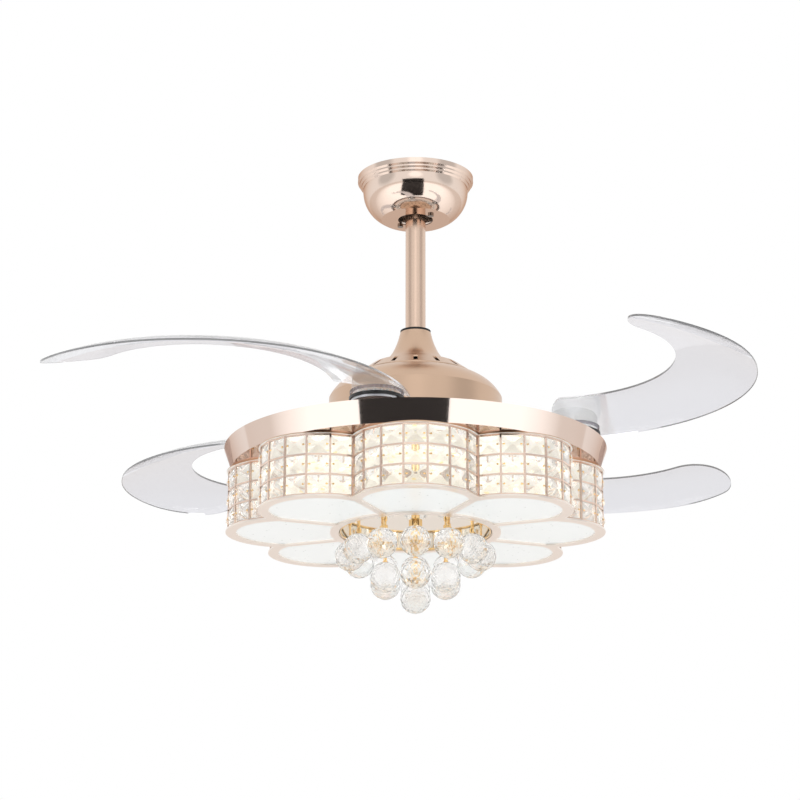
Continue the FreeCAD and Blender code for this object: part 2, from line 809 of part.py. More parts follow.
def tooth(body, pitch, shares, level, height):
    """One straight-flanked tooth on the side of the body that faces +X."""
    sketch = new_sketch(body, "XY", level)
    heel = "(%s - %s * gear_module - run_gap)" % (pitch, root_share)
    tip = "(%s + %s * gear_module)" % (pitch, tip_share)
    corners = []
    reach = (heel, pitch, tip)
    for radius, share in zip(reach, shares):
        corners.append((radius, "-%s * gear_module" % share))
    for radius, share in zip(reversed(reach), reversed(shares)):
        corners.append((radius, "%s * gear_module" % share))
    draw(sketch, corners)
    return pad(body, sketch, height), sketch


body = new_body("blade_gear")
outline = new_sketch(body, "XY", GEAR_END)
draw_circle(outline, "0", "0", "%s - %s * gear_module" % (BLADE_PITCH, root_share))
draw_circle(outline, "0", "0", "post_radius + run_gap")
pad(body, outline, "gear_thickness")
one, outline = tooth(body, BLADE_PITCH, small_tooth_shares, GEAR_END, "gear_thickness")
around(body, one, outline, "blade_teeth")
blade_gear = body

body = new_body("sync_gear")
outline = new_sketch(body, "XY", GEAR_END)
SYNC_ROOT = "(%s - %s * gear_module)" % (SYNC_PITCH, root_share)
draw_circle(outline, "0", "0", SYNC_ROOT)
draw_circle(outline, "0", "0", "neck_radius + run_gap")
SYNC_T = "(gear_thickness - run_gap)"
pad(body, outline, SYNC_T)
outline = new_sketch(body, "XY", GEAR_END)
SPOKE = "sync_spoke / 2"
RIM_IN = "(%s - sync_rim)" % SYNC_ROOT
HUB_EDGE = "sqrt(sync_hub ^ 2 - (sync_spoke / 2) ^ 2)"
RIM_EDGE = "sqrt(%s ^ 2 - (sync_spoke / 2) ^ 2)" % RIM_IN
draw(outline, (
    (HUB_EDGE, SPOKE),
    (RIM_EDGE, SPOKE, RIM_IN, 1),
    (SPOKE, RIM_EDGE),
    (SPOKE, HUB_EDGE, "sync_hub", -1),
))
window = pocket(body, outline, "4 * gear_thickness")
around(body, window, outline, "4")
one, outline = tooth(body, SYNC_PITCH, large_tooth_shares, GEAR_END, SYNC_T)
TOOTH_STEP = "(180 * gear_module / %s)" % SYNC_PITCH
fan = body.newObject("PartDesign::MultiTransform", "sectors")
fan.Originals = [one]
sector = body.newObject("PartDesign::PolarPattern", "sector")
sector.Axis = (outline, ["N_Axis"])
quarters = body.newObject("PartDesign::PolarPattern", "quarters")
quarters.Axis = (outline, ["N_Axis"])
bind(sector, "Angle", TOOTH_STEP + " * (sync_sector_teeth - 1)")
bind(sector, "Occurrences", "sync_sector_teeth")
quarters.Angle = 360
quarters.Occurrences = 4
fan.Transformations = [sector, quarters]
body.Tip = fan
bind(body, "Placement.Rotation.Angle", "pivot_angle - (sync_sector_teeth - 3) * " + TOOTH_STEP)
keep("sync_gear", body)
spread_gears = [on_pivot(spin).multiply(turn(180 / val("blade_teeth"))) for spin in quarter]
for i, place in enumerate(spread_gears, 1):
    spread("blade_gear_%d" % i, blade_gear, [place])

# Return spring: a coil of square wire round the rotor neck between gear and motor
body = new_body("return_spring")
sketch = new_sketch(body, "XZ")
SPRING_Z = GEAR_TOP + " + run_gap + spring_wire / 2"
SPRING_IN = "(spring_radius - spring_wire / 2)"
SPRING_OUT = "(spring_radius + spring_wire / 2)"
draw(sketch, (
    (SPRING_IN, SPRING_Z + " - spring_wire / 2"),
    (SPRING_OUT, SPRING_Z + " - spring_wire / 2"),
    (SPRING_OUT, SPRING_Z + " + spring_wire / 2"),
    (SPRING_IN, SPRING_Z + " + spring_wire / 2"),
))
coil = body.newObject("PartDesign::AdditiveHelix", "coil")
coil.Profile = sketch
coil.ReferenceAxis = (sketch, ["V_Axis"])
coil.Mode = "pitch-turns-angle"
bind(coil, "Pitch", "spring_wire + run_gap")
bind(coil, "Turns", "spring_turns")
keep("return_spring", body)

# Blades, drawn folded round the fan axis and then turned out about their pivots.
# Each is a cambered sheet that climbs along its length, cut to a sickle, with a boss.
section_shares = (-0.13, 0.08, 0.30, 0.51, 0.73, 0.94, 1.16)
SHEET_IN = "(blade_inner - blade_margin)"
SHEET_OUT = "(blade_outer + blade_margin)"


def section(share, thin):
    """A radial section; thin gives the sheet, else the space below its middle."""
    sweep = "(%s * tip_turn_angle)" % share
    lift = "%s + blade_climb * %s / 90" % (BLADE_Z, sweep)
    near = "(%s + blade_slope * (blade_outer - %s))" % (lift, SHEET_IN)
    far = "(%s + blade_slope * (blade_outer - %s))" % (lift, SHEET_OUT)
    sketch = doc.addObject("Sketcher::SketchObject", "blade_section")
    if thin:
        draw(sketch, (
            (SHEET_IN, near + " - blade_thickness / 2", "camber_radius", -1),
            (SHEET_OUT, far + " - blade_thickness / 2"),
            (SHEET_OUT, far + " + blade_thickness / 2", "camber_radius", 1),
            (SHEET_IN, near + " + blade_thickness / 2"),
        ))
    else:
        draw(sketch, (
            (SHEET_IN, GEAR_TOP),
            (SHEET_OUT, GEAR_TOP + " - 2 * pad_thickness"),
            (SHEET_OUT, far, "camber_radius", 1),
            (SHEET_IN, near),
        ))
    sketch.Placement = turn(-val(sweep)).multiply(turn(90, ACROSS))
    return sketch


def loft(name, sections):
    skin = doc.addObject("Part::Loft", name)
    skin.Sections = sections
    skin.Solid = True
    skin.Ruled = False
    return skin


def polar(radius, angle):
    """A point at a radius, so many degrees clockwise of the pivot."""
    return "%s * cos(%s)" % (radius, angle), "-%s * sin(%s)" % (radius, angle)


def prism(name, sketch, height):
    block = doc.addObject("Part::Extrusion", name)
    block.Base = sketch
    block.DirMode = "Custom"
    block.Dir = UP
    block.Solid = True
    bind(block, "LengthFwd", height)
    return block


def joined(kind, name, base, tool):
    result = doc.addObject("Part::" + kind, name)
    result.Base = base
    result.Tool = tool
    return result


sheet_skin = loft("blade_skin", [section(share, True) for share in section_shares])
under_skin = loft("blade_under", [section(share, False) for share in section_shares[:3]])

# The outer edge leaves its circle on a tighter arc that runs smoothly into the round tip,
# and the round tip runs smoothly into the inner edge; this sets the radius of the arc.
ROUND_C = "(blade_inner + tip_round)"
TIP_COS = "cos(tip_turn_angle - tip_start_angle)"
TIP_SWEEP = "((blade_outer ^ 2 + %s ^ 2 - 2 * blade_outer * %s * %s - tip_round ^ 2) / (2 * (%s)))" % (
    ROUND_C, ROUND_C, TIP_COS, "blade_outer - tip_round - %s * %s" % (ROUND_C, TIP_COS))
arc_centre = polar("(blade_outer - %s)" % TIP_SWEEP, "tip_start_angle")
round_centre = polar(ROUND_C, "tip_turn_angle")
tip_end = tuple("(%s + (%s - (%s)) * %s / (%s - tip_round))" % (a, b, a, TIP_SWEEP, TIP_SWEEP)
                for a, b in zip(arc_centre, round_centre))
outline = doc.addObject("Sketcher::SketchObject", "blade_outline")
draw(outline, (
    polar("blade_inner", "-root_inner_angle") + ("root_bow", -1),
    polar("blade_outer", "-root_outer_angle") + ("blade_outer", -1),
    polar("blade_outer", "tip_start_angle / 2") + ("blade_outer", -1),
    polar("blade_outer", "tip_start_angle") + (TIP_SWEEP, -1),
    tip_end + ("tip_round", -1),
    polar("blade_inner", "tip_turn_angle") + ("blade_inner", 1),
    polar("blade_inner", "tip_turn_angle / 2") + ("blade_inner", 1),
))
bind(outline, "Placement.Base.z", CARRIER)
sickle = joined("Common", "blade_sickle", sheet_skin, prism("blade_block", outline, "pivot_circle"))


def drum(name, radius, bottom, height):
    """A round block about the pivot."""
    block = doc.addObject("Part::Cylinder", name)
    bind(block, "Radius", radius)
    bind(block, "Height", height)
    bind(block, "Placement.Base.x", "pivot_circle")
    bind(block, "Placement.Base.z", bottom)
    return block


boss_block = drum("boss_block", "boss_radius", GEAR_TOP, "pad_radius")
boss = joined("Common", "blade_boss", under_skin, boss_block)
whole = joined("Fuse", "blade_whole", sickle, boss)
CAVITY = "post_flange_thickness + 3 * run_gap"
hollow = joined("Cut", "blade", whole, drum("boss_hollow", "boss_cavity", GEAR_TOP, CAVITY))
doc.recompute()
for i, spin in enumerate(quarter, 1):
    spread("blade_%d" % i, hollow, [at_pivot(spin, val("blade_fold"))])

# Light pan: a shallow dish with a flared polished rim, clamped on the shaft by two nuts
body = new_body("light_pan")
PAN_FLOOR_R = "(pan_radius - pan_flare)"
revolve(body, (
    ("shaft_radius + fit", PAN_END),
    (PAN_FLOOR_R, PAN_END),
    ("pan_radius", PAN_TOP),
    ("pan_radius - pan_sheet", PAN_TOP),
    (PAN_FLOOR_R + " - pan_sheet", PAN_FLOOR),
    ("shaft_radius + fit", PAN_FLOOR),
))
EIGHTH = "180 / petals"
BOLT_X = "drum_screw_circle * cos(%s)" % EIGHTH
BOLT_Y = "drum_screw_circle * sin(%s)" % EIGHTH
holes, outline = drill(body, "XY", PAN_END, BOLT_X, BOLT_Y, "screw_radius + fit", "4 * pan_sheet")
around(body, holes, outline, "petals")
keep("light_pan", body)

body = new_body("shaft_nut")
outline = new_sketch(body, "XY", "0")
hexagon = (0, 60, 120, 180, 240, 300)
NUT_R = "(nut_flats / sqrt(3))"
draw(outline, [("%s * cos(%d)" % (NUT_R, a), "%s * sin(%d)" % (NUT_R, a)) for a in hexagon])
draw_circle(outline, "0", "0", "shaft_radius + fit")
pad(body, outline, "nut_height")
spread("shaft_nuts", body, [shift(0, 0, val(PAN_FLOOR)), shift(0, 0, val(PAN_END + " - nut_height"))])

body = new_body("led_driver")
outline = new_sketch(body, "XY", PAN_FLOOR)
draw(outline, (
    ("driver_offset - driver_length / 2", "-driver_width / 2"),
    ("driver_offset + driver_length / 2", "-driver_width / 2"),
    ("driver_offset + driver_length / 2", "driver_width / 2"),
    ("driver_offset - driver_length / 2", "driver_width / 2"),
))
pad(body, outline, "driver_height")
spread("led_drivers", body, [turn(spin) for spin in half_turn])

# Drum: petal-shaped top plate, cage of rails and posts, crystals and window frame
LOBE_C = "(lobe_radius * (sin(lobe_half_angle) / tan(180 / petals) - cos(lobe_half_angle)))"
HALF = "(180 / petals)"


def valley(radius, offset):
    """Distance along the ray between two petals to a lobe circle, off to one side of the ray."""
    return "(%s * cos(%s) + sqrt(%s ^ 2 - (%s * sin(%s) - %s) ^ 2))" % (
        LOBE_C, HALF, radius, LOBE_C, HALF, offset)


def petal_outline(sketch, radius):
    reach = valley(radius, "0")
    corners = []
    for i in range(int(val("petals"))):
        angle = "((%d + 0.5) * 360 / petals)" % i
        corners.append(("%s * cos(%s)" % (reach, angle), "%s * sin(%s)" % (reach, angle), radius, 1))
    draw(sketch, corners)


body = new_body("drum_plate")
outline = new_sketch(body, "XY", DRUM_END)
petal_outline(outline, "(lobe_radius + plate_lip)")
draw_circle(outline, "0", "0", "drum_hole")
pad(body, outline, "plate_sheet")
holes, outline = drill(body, "XY", DRUM_END, BOLT_X, BOLT_Y, "screw_radius + fit", "4 * plate_sheet")
around(body, holes, outline, "petals")
keep("drum_plate", body)

BOARD_END = DRUM_END + " - board_sheet"
body = new_body("led_board")
outline = new_sketch(body, "XY", BOARD_END)
draw_circle(outline, "0", "0", "board_outer")
draw_circle(outline, "0", "0", "board_inner")
pad(body, outline, "board_sheet")
holes, outline = drill(body, "XY", BOARD_END, BOLT_X, BOLT_Y, "screw_radius + fit", "4 * board_sheet")
around(body, holes, outline, "petals")
keep("led_board", body)

proto = screw("drum_screw", "board_sheet + plate_sheet + pan_sheet + screw_radius")
spread("drum_screws", proto, [
    turn(360 * i / val("petals")).multiply(shift(val(BOLT_X), val(BOLT_Y), val(BOARD_END)))
    for i in range(int(val("petals")))])

chip = doc.addObject("Part::Box", "led")
for side in ("Length", "Width"):
    bind(chip, side, "led_size")
bind(chip, "Height", "led_height")
bind(chip, "Placement.Base.x", "led_circle - led_size / 2")
bind(chip, "Placement.Base.y", "-led_size / 2")
bind(chip, "Placement.Base.z", BOARD_END + " - led_height")
chips = int(val("led_rows"))
skew = 180 / val("led_rows")
spread("leds", chip, [turn(skew + 360 * i / chips) for i in range(chips)])

columns = int(val("columns"))
rows = int(val("rows"))
petals = int(val("petals"))
half_angle = math.radians(val("lobe_half_angle"))
swing = 2 * half_angle / columns
lobe_centre = Vector(val(LOBE_C), 0, 0)
lobe_radius = val("lobe_radius")
cage_depth = val("cage_depth")
cage_floor = val(FRAME_TOP)
cage_height = val(CAGE_HEIGHT)
rail_height = val("cage_rail")
petal_turns = [turn(360 * i / petals - 90) for i in range(petals)]


def on_lobe(radius, angle, height):
    return lobe_centre + Vector(radius * math.cos(angle), radius * math.sin(angle), height)


def raised(points, height):
    return Part.Face(Part.makePolygon(points + points[:1])).extrude(Vector(0, 0, height))


corner_angles = [i * swing - half_angle for i in range(columns + 1)]
rail_steps = [(cage_height - rail_height) * i / rows for i in range(rows + 1)]
bars = []
for step in rail_steps:
    level = cage_floor + step
    strip = [on_lobe(lobe_radius, a, level) for a in corner_angles]
    strip += [on_lobe(lobe_radius - cage_depth, a, level) for a in reversed(corner_angles)]
    bars.append(raised(strip, rail_height))
half_post = val("post_width") / 2
for angle in corner_angles:
    outward = Vector(math.cos(angle), math.sin(angle), 0)
    aside = Vector(-math.sin(angle), math.cos(angle), 0) * half_post
    far_end = on_lobe(lobe_radius, angle, cage_floor)
    near_end = far_end - outward * cage_depth
    bars.append(raised([near_end - aside, far_end - aside, far_end + aside, near_end + aside], cage_height))
petal = bars[0].multiFuse(bars[1:])
petal_copies = []
for place in petal_turns:
    copy = petal.copy()
    copy.Placement = place
    petal_copies.append(copy)
cage = doc.addObject("Part::Feature", "petal_cage")
cage.Shape = petal_copies[0].multiFuse(petal_copies[1:]).removeSplitter()
keep("petal_cage", cage)

# One crystal: a thin square girdle with a four-sided crown and a small table
body = new_body("crystal")
swing_text = "(lobe_half_angle / columns)"
CHORD = "(2 * (lobe_radius - cage_depth) * sin(%s))" % swing_text
GEM_W = "(%s - post_width / cos(%s) - 2 * fit) / 2" % (CHORD, swing_text)
GEM_H = "((%s - cage_rail) / rows - cage_rail - 2 * fit) / 2" % CAGE_HEIGHT
TABLE = "crystal_table / 2"
GIRDLE = "(crystal_depth - crystal_crown)"


def rectangle(sketch, width, height):
    draw(sketch, (
        ("-" + width, "-" + height),
        (width, "-" + height),
        (width, height),
        ("-" + width, height),
    ))


outline = new_sketch(body, "XY", "0")
rectangle(outline, GEM_W, GEM_H)
pad(body, outline, GIRDLE)
lower = new_sketch(body, "XY", GIRDLE)
rectangle(lower, GEM_W, GEM_H)
upper = new_sketch(body, "XY", "crystal_depth")
rectangle(upper, TABLE, TABLE)
crown = body.newObject("PartDesign::AdditiveLoft", "crown")
crown.Profile = lower
crown.Sections = [upper]
crown.Ruled = True
crystal = body
stand_up = FreeCAD.Placement(HERE, FreeCAD.Rotation(Vector(1, 1, 1), 120))
back = (lobe_radius - cage_depth) * math.cos(swing / 2)
row_step = (cage_height - rail_height) / rows
row_words = ("lower", "middle", "upper")
for row in range(rows):
    places = []
    height = cage_floor + rail_height / 2 + row_step * (row + 0.5)
    for place in petal_turns:
        for column in range(columns):
            angle = (column + 0.5) * swing - half_angle
            stand = shift(lobe_centre.x, 0, height).multiply(turn(math.degrees(angle)))
            stand = stand.multiply(shift(back, 0, 0)).multiply(stand_up)
            places.append(place.multiply(stand))
    spread("crystals_%s" % row_words[row % len(row_words)], crystal, places)

# Window frame under the drum and its white diffusers
body = new_body("window_frame")
outline = new_sketch(body, "XY", FRAME_END)
petal_outline(outline, "(lobe_radius + plate_lip)")
draw_circle(outline, "0", "0", "tray_radius")
pad(body, outline, "frame_sheet")


def window_outline(sketch, growth):
    """A petal window on the +X side, grown by so much all round."""
    edge = "(frame_divider / 2 - %s)" % growth
    round_r = "(lobe_radius - frame_band + %s)" % growth
    inner_r = "(tray_radius + frame_ring - %s)" % growth
    far = valley(round_r, edge)
    near = "sqrt(%s ^ 2 - %s ^ 2)" % (inner_r, edge)
    corners = []
    for reach in (near, far):
        corners.append((
            "(%s * cos(%s) + %s * sin(%s))" % (reach, HALF, edge, HALF),
            "(%s * sin(%s) - %s * cos(%s))" % (reach, HALF, edge, HALF)))
    draw(sketch, (
        (corners[0][0], "-" + corners[0][1]),
        (corners[1][0], "-" + corners[1][1], round_r, 1),
        (corners[1][0], corners[1][1]),
        (corners[0][0], corners[0][1], inner_r, -1),
    ))


outline = new_sketch(body, "XY", FRAME_END)
window_outline(outline, "0")
window = pocket(body, outline, "4 * frame_sheet")
around(body, window, outline, "petals")
keep("window_frame", body)

body = new_body("diffuser")
outline = new_sketch(body, "XY", FRAME_TOP)
window_outline(outline, "diffuser_lap")
pad(body, outline, "diffuser_sheet")
spread("diffusers", body, petal_turns)

# Mirror tray, its tube and nuts. The balls of the upper ring just clear each other, which
# sets their size; the middle ring leaves the same play round the lowest ball.
UPPER_TIER = "(tray_radius - bead_inset)"
BEAD_R = "(%s * sin(180 / upper_count) - bead_gap)" % UPPER_TIER
MIDDLE_TIER = "(2 * %s + 2.5 * bead_gap)" % BEAD_R
body = new_body("mirror_tray")
TRAY_IN = "(tray_radius - tray_sheet)"
TUBE_R = "(shaft_bore - fit)"
revolve(body, (
    (TUBE_R + " + fit", TRAY_TOP),
    (TUBE_R + " + fit", TRAY_TOP + " - tray_sheet"),
    (TRAY_IN, TRAY_TOP + " - tray_sheet"),
    (TRAY_IN, FRAME_TOP),
    ("tray_radius + tray_flange", FRAME_TOP),
    ("tray_radius + tray_flange", FRAME_TOP + " + tray_sheet"),
    ("tray_radius", FRAME_TOP + " + tray_sheet"),
    ("tray_radius", TRAY_TOP),
))
wires = (("upper", UPPER_TIER, "upper_count"), ("middle", MIDDLE_TIER, "middle_count"))
for word, tier, count in wires:
    holes, outline = drill(body, "XY", TRAY_TOP, "0", "-" + tier, "wire_radius + fit", "4 * tray_sheet")
    around(body, holes, outline, count)
keep("mirror_tray", body)

body = new_body("tray_tube")
TUBE_END = TRAY_TOP + " - tray_sheet - nut_height"
ring(body, TUBE_R + " - rod_wall", TUBE_R, TUBE_END, SHAFT_END + " + nut_height")
keep("tray_tube", body)

body = new_body("tray_nut")
outline = new_sketch(body, "XY", "0")
SMALL_R = "(nut_flats / 3)"
draw(outline, [("%s * cos(%d)" % (SMALL_R, a), "%s * sin(%d)" % (SMALL_R, a)) for a in hexagon])
draw_circle(outline, "0", "0", TUBE_R + " + fit")
pad(body, outline, "nut_height / 2")
spread("tray_nuts", body, [
    shift(0, 0, val(TRAY_TOP)), shift(0, 0, val(TRAY_TOP + " - tray_sheet - nut_height / 2"))])

# Hanging crystal balls, cut with flat facets, each on a stiff gilt wire
facet_rings = (-72, -45, -15, 15, 45, 72)
facet_count = 10
bead = val(BEAD_R)
spots = []
for level in facet_rings:
    belt = []
    for i in range(facet_count):
        angle = math.radians(360 * i / facet_count)
        flat = bead * math.cos(math.radians(level))
        rise = bead * math.sin(math.radians(level))
        belt.append(Vector(flat * math.cos(angle), flat * math.sin(angle), rise))
    spots.append(belt)
faces = [Part.Face(Part.makePolygon(belt + belt[:1])) for belt in (spots[0], spots[-1])]
for low, high in zip(spots, spots[1:]):
    for i in range(facet_count):
        j = (i + 1) % facet_count
        faces.append(Part.Face(Part.makePolygon([low[i], low[j], high[j], high[i], low[i]])))
ball = doc.addObject("Part::Feature", "crystal_ball")
ball.Shape = Part.makeSolid(Part.makeShell(faces))
if ball.Shape.Volume < 0:
    ball.Shape = ball.Shape.reversed()
cap = "%s * sin(%d)" % (BEAD_R, facet_rings[-1])


def wire(name, drop):
    """A gilt wire from above the tray to the top of a ball, with a nut and a cup."""
    body = new_body(name)
    foot = "(%s - %s + %s)" % (TRAY_TOP, drop, cap)
    under = "(%s - tray_sheet)" % TRAY_TOP
    revolve(body, (
        ("0", foot),
        ("wire_head", foot),
        ("wire_head", foot + " + wire_head"),
        ("wire_radius", foot + " + wire_head"),
        ("wire_radius", under + " - wire_head"),
        ("wire_head", under + " - wire_head"),
        ("wire_head", under),
        ("wire_radius", under),
        ("wire_radius", under + " + 2 * tray_sheet"),
        ("0", under + " + 2 * tray_sheet"),
    ))
    return body


for word, tier, count in wires:
    number = int(val(count))
    seats = [turn(360 * i / number - 90).multiply(shift(val(tier), 0, 0)) for i in range(number)]
    spread("%s_wires" % word, wire("%s_wire" % word, "%s_drop" % word), seats)
    depth = val(TRAY_TOP + " - %s_drop" % word)
    spread("%s_balls" % word, ball, [seat.multiply(shift(0, 0, depth)) for seat in seats])
body = new_body("lowest_wire")
FOOT = "(%s - lowest_drop + %s)" % (TRAY_TOP, cap)
revolve(body, (
    ("0", FOOT),
    ("wire_head", FOOT),
    ("wire_head", FOOT + " + wire_head"),
    ("wire_radius", FOOT + " + wire_head"),
    ("wire_radius", TUBE_END + " - wire_head"),
    (TUBE_R, TUBE_END + " - wire_head"),
    (TUBE_R, TUBE_END),
    ("0", TUBE_END),
))
keep("lowest_wire", body)
spread("lowest_ball", ball, [shift(0, 0, val(TRAY_TOP + " - lowest_drop"))])

doc.recompute()
for thing in doc.Objects:
    if "Invalid" in thing.State or "Error" in thing.State:
        raise RuntimeError("not built: " + thing.Label)
os.makedirs("parts", exist_ok=True)
for name, thing in nodes.items():
    shape = thing.Shape
    if shape.isNull() or not shape.isValid():
        raise RuntimeError("no sound solid: " + name)
    shape.exportStep("parts/" + name + ".step")
    print(name, len(shape.Solids), round(shape.Volume / 1000, 2))
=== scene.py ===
# %% [markdown]
# A ceiling fan with clear sickle blades that fold in over a crystal drum lamp.
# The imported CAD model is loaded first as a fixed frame: every piece is in metres, with the
# ceiling plane at z = 0 and the fan hanging down. This file dresses that frame: finishes for
# every node, finely cut crystal in place of the plain solids, small gilt pins, light and camera.

# %% Load the frame
import json
import math
import bmesh
import bpy
from mathutils import Matrix, Vector


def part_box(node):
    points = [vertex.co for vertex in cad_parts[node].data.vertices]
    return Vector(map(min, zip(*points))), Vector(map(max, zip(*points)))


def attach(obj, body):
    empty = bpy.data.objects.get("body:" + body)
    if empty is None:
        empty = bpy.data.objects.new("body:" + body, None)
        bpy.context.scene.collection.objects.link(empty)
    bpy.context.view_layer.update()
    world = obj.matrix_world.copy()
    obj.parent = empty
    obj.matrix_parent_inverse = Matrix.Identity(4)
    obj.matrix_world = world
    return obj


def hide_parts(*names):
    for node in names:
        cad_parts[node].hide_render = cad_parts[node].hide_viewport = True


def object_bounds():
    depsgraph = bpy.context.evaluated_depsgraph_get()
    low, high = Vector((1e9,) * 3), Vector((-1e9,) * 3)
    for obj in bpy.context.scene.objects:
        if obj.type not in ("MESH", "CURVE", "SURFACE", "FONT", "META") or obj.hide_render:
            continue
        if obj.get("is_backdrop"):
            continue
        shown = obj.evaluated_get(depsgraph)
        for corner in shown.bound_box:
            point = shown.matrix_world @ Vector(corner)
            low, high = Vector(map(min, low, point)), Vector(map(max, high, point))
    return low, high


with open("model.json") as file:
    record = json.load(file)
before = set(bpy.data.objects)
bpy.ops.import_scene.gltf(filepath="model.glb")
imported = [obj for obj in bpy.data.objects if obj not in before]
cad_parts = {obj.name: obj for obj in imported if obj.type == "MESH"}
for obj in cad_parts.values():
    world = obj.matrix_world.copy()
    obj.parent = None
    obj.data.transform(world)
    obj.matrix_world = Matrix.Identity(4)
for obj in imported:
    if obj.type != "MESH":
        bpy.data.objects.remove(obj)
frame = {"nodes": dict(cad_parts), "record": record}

nodes = frame["nodes"]
scene = bpy.context.scene
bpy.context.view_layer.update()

# %% [markdown]
# The photograph was taken from below, from about three metres. A pinhole camera was
# fitted to it: the rod is upright and the lamp's round edges are ellipses, which fix distance,
# height and tilt. The fan hangs a little right of the middle, so the lens is shifted a touch.

# %% Camera
CAMERA_PLACE = (0.0, -3.1, -1.24258)
LEVEL, LOOK_UP = 90, 16.687
SENSOR_WIDTH = 36
LENS = 110.403
SIDE_SHIFT = -0.0194
FARTHEST = 100
camera_data = bpy.data.cameras.new("photo_camera")
camera_data.sensor_width = SENSOR_WIDTH
camera_data.lens = LENS
camera_data.shift_x = SIDE_SHIFT
camera_data.clip_end = FARTHEST
camera = bpy.data.objects.new("photo_camera", camera_data)
camera.location = CAMERA_PLACE
camera.rotation_euler = (math.radians(LEVEL + LOOK_UP), 0, 0)
scene.collection.objects.link(camera)
scene.camera = camera
scene.view_settings.view_transform = "Standard"
print("camera at", CAMERA_PLACE)

# %% [markdown]
# Shaders are built from nodes joined by links. A few small helpers keep that short: each adds
# one node, fills its inputs with links or plain numbers, and gives back the output to use next.

# %% Node helpers


def put(tree, value, socket):
    """Fills a socket: another socket is linked to it, anything else is its plain value."""
    if isinstance(value, bpy.types.NodeSocket):
        tree.links.new(value, socket)
    else:
        socket.default_value = value


def math_step(tree, operation, *values, clamp=False):
    node = tree.nodes.new("ShaderNodeMath")
    node.operation = operation
    node.use_clamp = clamp
    for value, socket in zip(values, node.inputs):
        put(tree, value, socket)
    return node.outputs[0]


def map_range(tree, value, **limits):
    """Limits are From_Min, From_Max, To_Min and To_Max; those left out stay 0 and 1."""
    node = tree.nodes.new("ShaderNodeMapRange")
    put(tree, value, node.inputs["Value"])
    for label, limit in limits.items():
        put(tree, limit, node.inputs[label.replace("_", " ")])
    return node.outputs["Result"]


def mix_colours(tree, factor, first, second):
    node = tree.nodes.new("ShaderNodeMix")
    node.data_type = "RGBA"
    put(tree, factor, node.inputs["Factor"])
    put(tree, first, node.inputs["A"])
    put(tree, second, node.inputs["B"])
    return node.outputs["Result"]


def mix_shaders(tree, factor, first, second):
    node = tree.nodes.new("ShaderNodeMixShader")
    tree.links.new(factor, node.inputs["Fac"])
    tree.links.new(first, node.inputs[1])
    tree.links.new(second, node.inputs[2])
    return node.outputs["Shader"]


def new_material(name):
    """An empty material, its node tree and the socket that takes the finished shader."""
    material = bpy.data.materials.new(name)
    material.use_nodes = True
    tree = material.node_tree
    tree.nodes.clear()
    output = tree.nodes.new("ShaderNodeOutputMaterial")
    return material, tree, output.inputs["Surface"]


def plain_paint(tree, colour, rough):
    """A matt paint for the studio; the fan's own finishes are made further down."""
    paint = tree.nodes.new("ShaderNodeBsdfPrincipled")
    paint.inputs["Base Color"].default_value = colour
    paint.inputs["Roughness"].default_value = rough
    return paint.outputs["BSDF"]


def level_sheet(left, right, front, back, height):
    return [(left, front, height), (right, front, height), (right, back, height), (left, back, height)]


def flat_panel(name, corners, material):
    """A four-cornered panel of the studio, with a unit square of UVs for soft patches."""
    mesh = bpy.data.meshes.new(name)
    mesh.from_pydata(corners, [], [(0, 1, 2, 3)])
    square = mesh.uv_layers.new(name="square")
    for loop, spot in zip(square.data, ((0, 0), (1, 0), (1, 1), (0, 1))):
        loop.uv = spot
    mesh.materials.append(material)
    panel = bpy.data.objects.new(name, mesh)
    scene.collection.objects.link(panel)
    panel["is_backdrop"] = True
    return panel


print("node helpers ready")

# %% [markdown]
# The floor stands for a sheet of pale paper well below the fan. It is lit like paper and takes
# the fan's shadow. Most of what the camera and clear pieces see of it is plain white, so that
# pale things stand on a pale ground; mirrors see it a little warm.

# %% Paper floor
FLOOR_Z = -2.6
SPREAD = 40
PAPER, PAPER_ROUGH = (0.88, 0.88, 0.88, 1), 0.9
WARM_FLOOR = (0.84, 0.78, 0.74, 1)
WHITE_SHARE = 0.8
material, tree, surface = new_material("floor_paper")
paper = plain_paint(tree, PAPER, PAPER_ROUGH)
warm = tree.nodes.new("ShaderNodeEmission")
warm.inputs["Color"].default_value = WARM_FLOOR
white = tree.nodes.new("ShaderNodeEmission")
path = tree.nodes.new("ShaderNodeLightPath")
mirrored = mix_shaders(tree, path.outputs["Is Glossy Ray"], paper, warm.outputs["Emission"])
plain_view = math_step(tree, "MAXIMUM", path.outputs["Is Camera Ray"], path.outputs["Is Transmission Ray"])
share = math_step(tree, "MULTIPLY", plain_view, WHITE_SHARE)
tree.links.new(mix_shaders(tree, share, mirrored, white.outputs["Emission"]), surface)
flat_panel("floor", level_sheet(-SPREAD, SPREAD, -SPREAD, SPREAD, FLOOR_Z), material)
print("floor at", FLOOR_Z)

# %% [markdown]
# Beyond the floor everything is white: to the camera, in mirrors and through glass. The light
# that it sheds is weaker, so that the three soft boxes, left, right and above, shape the fan.

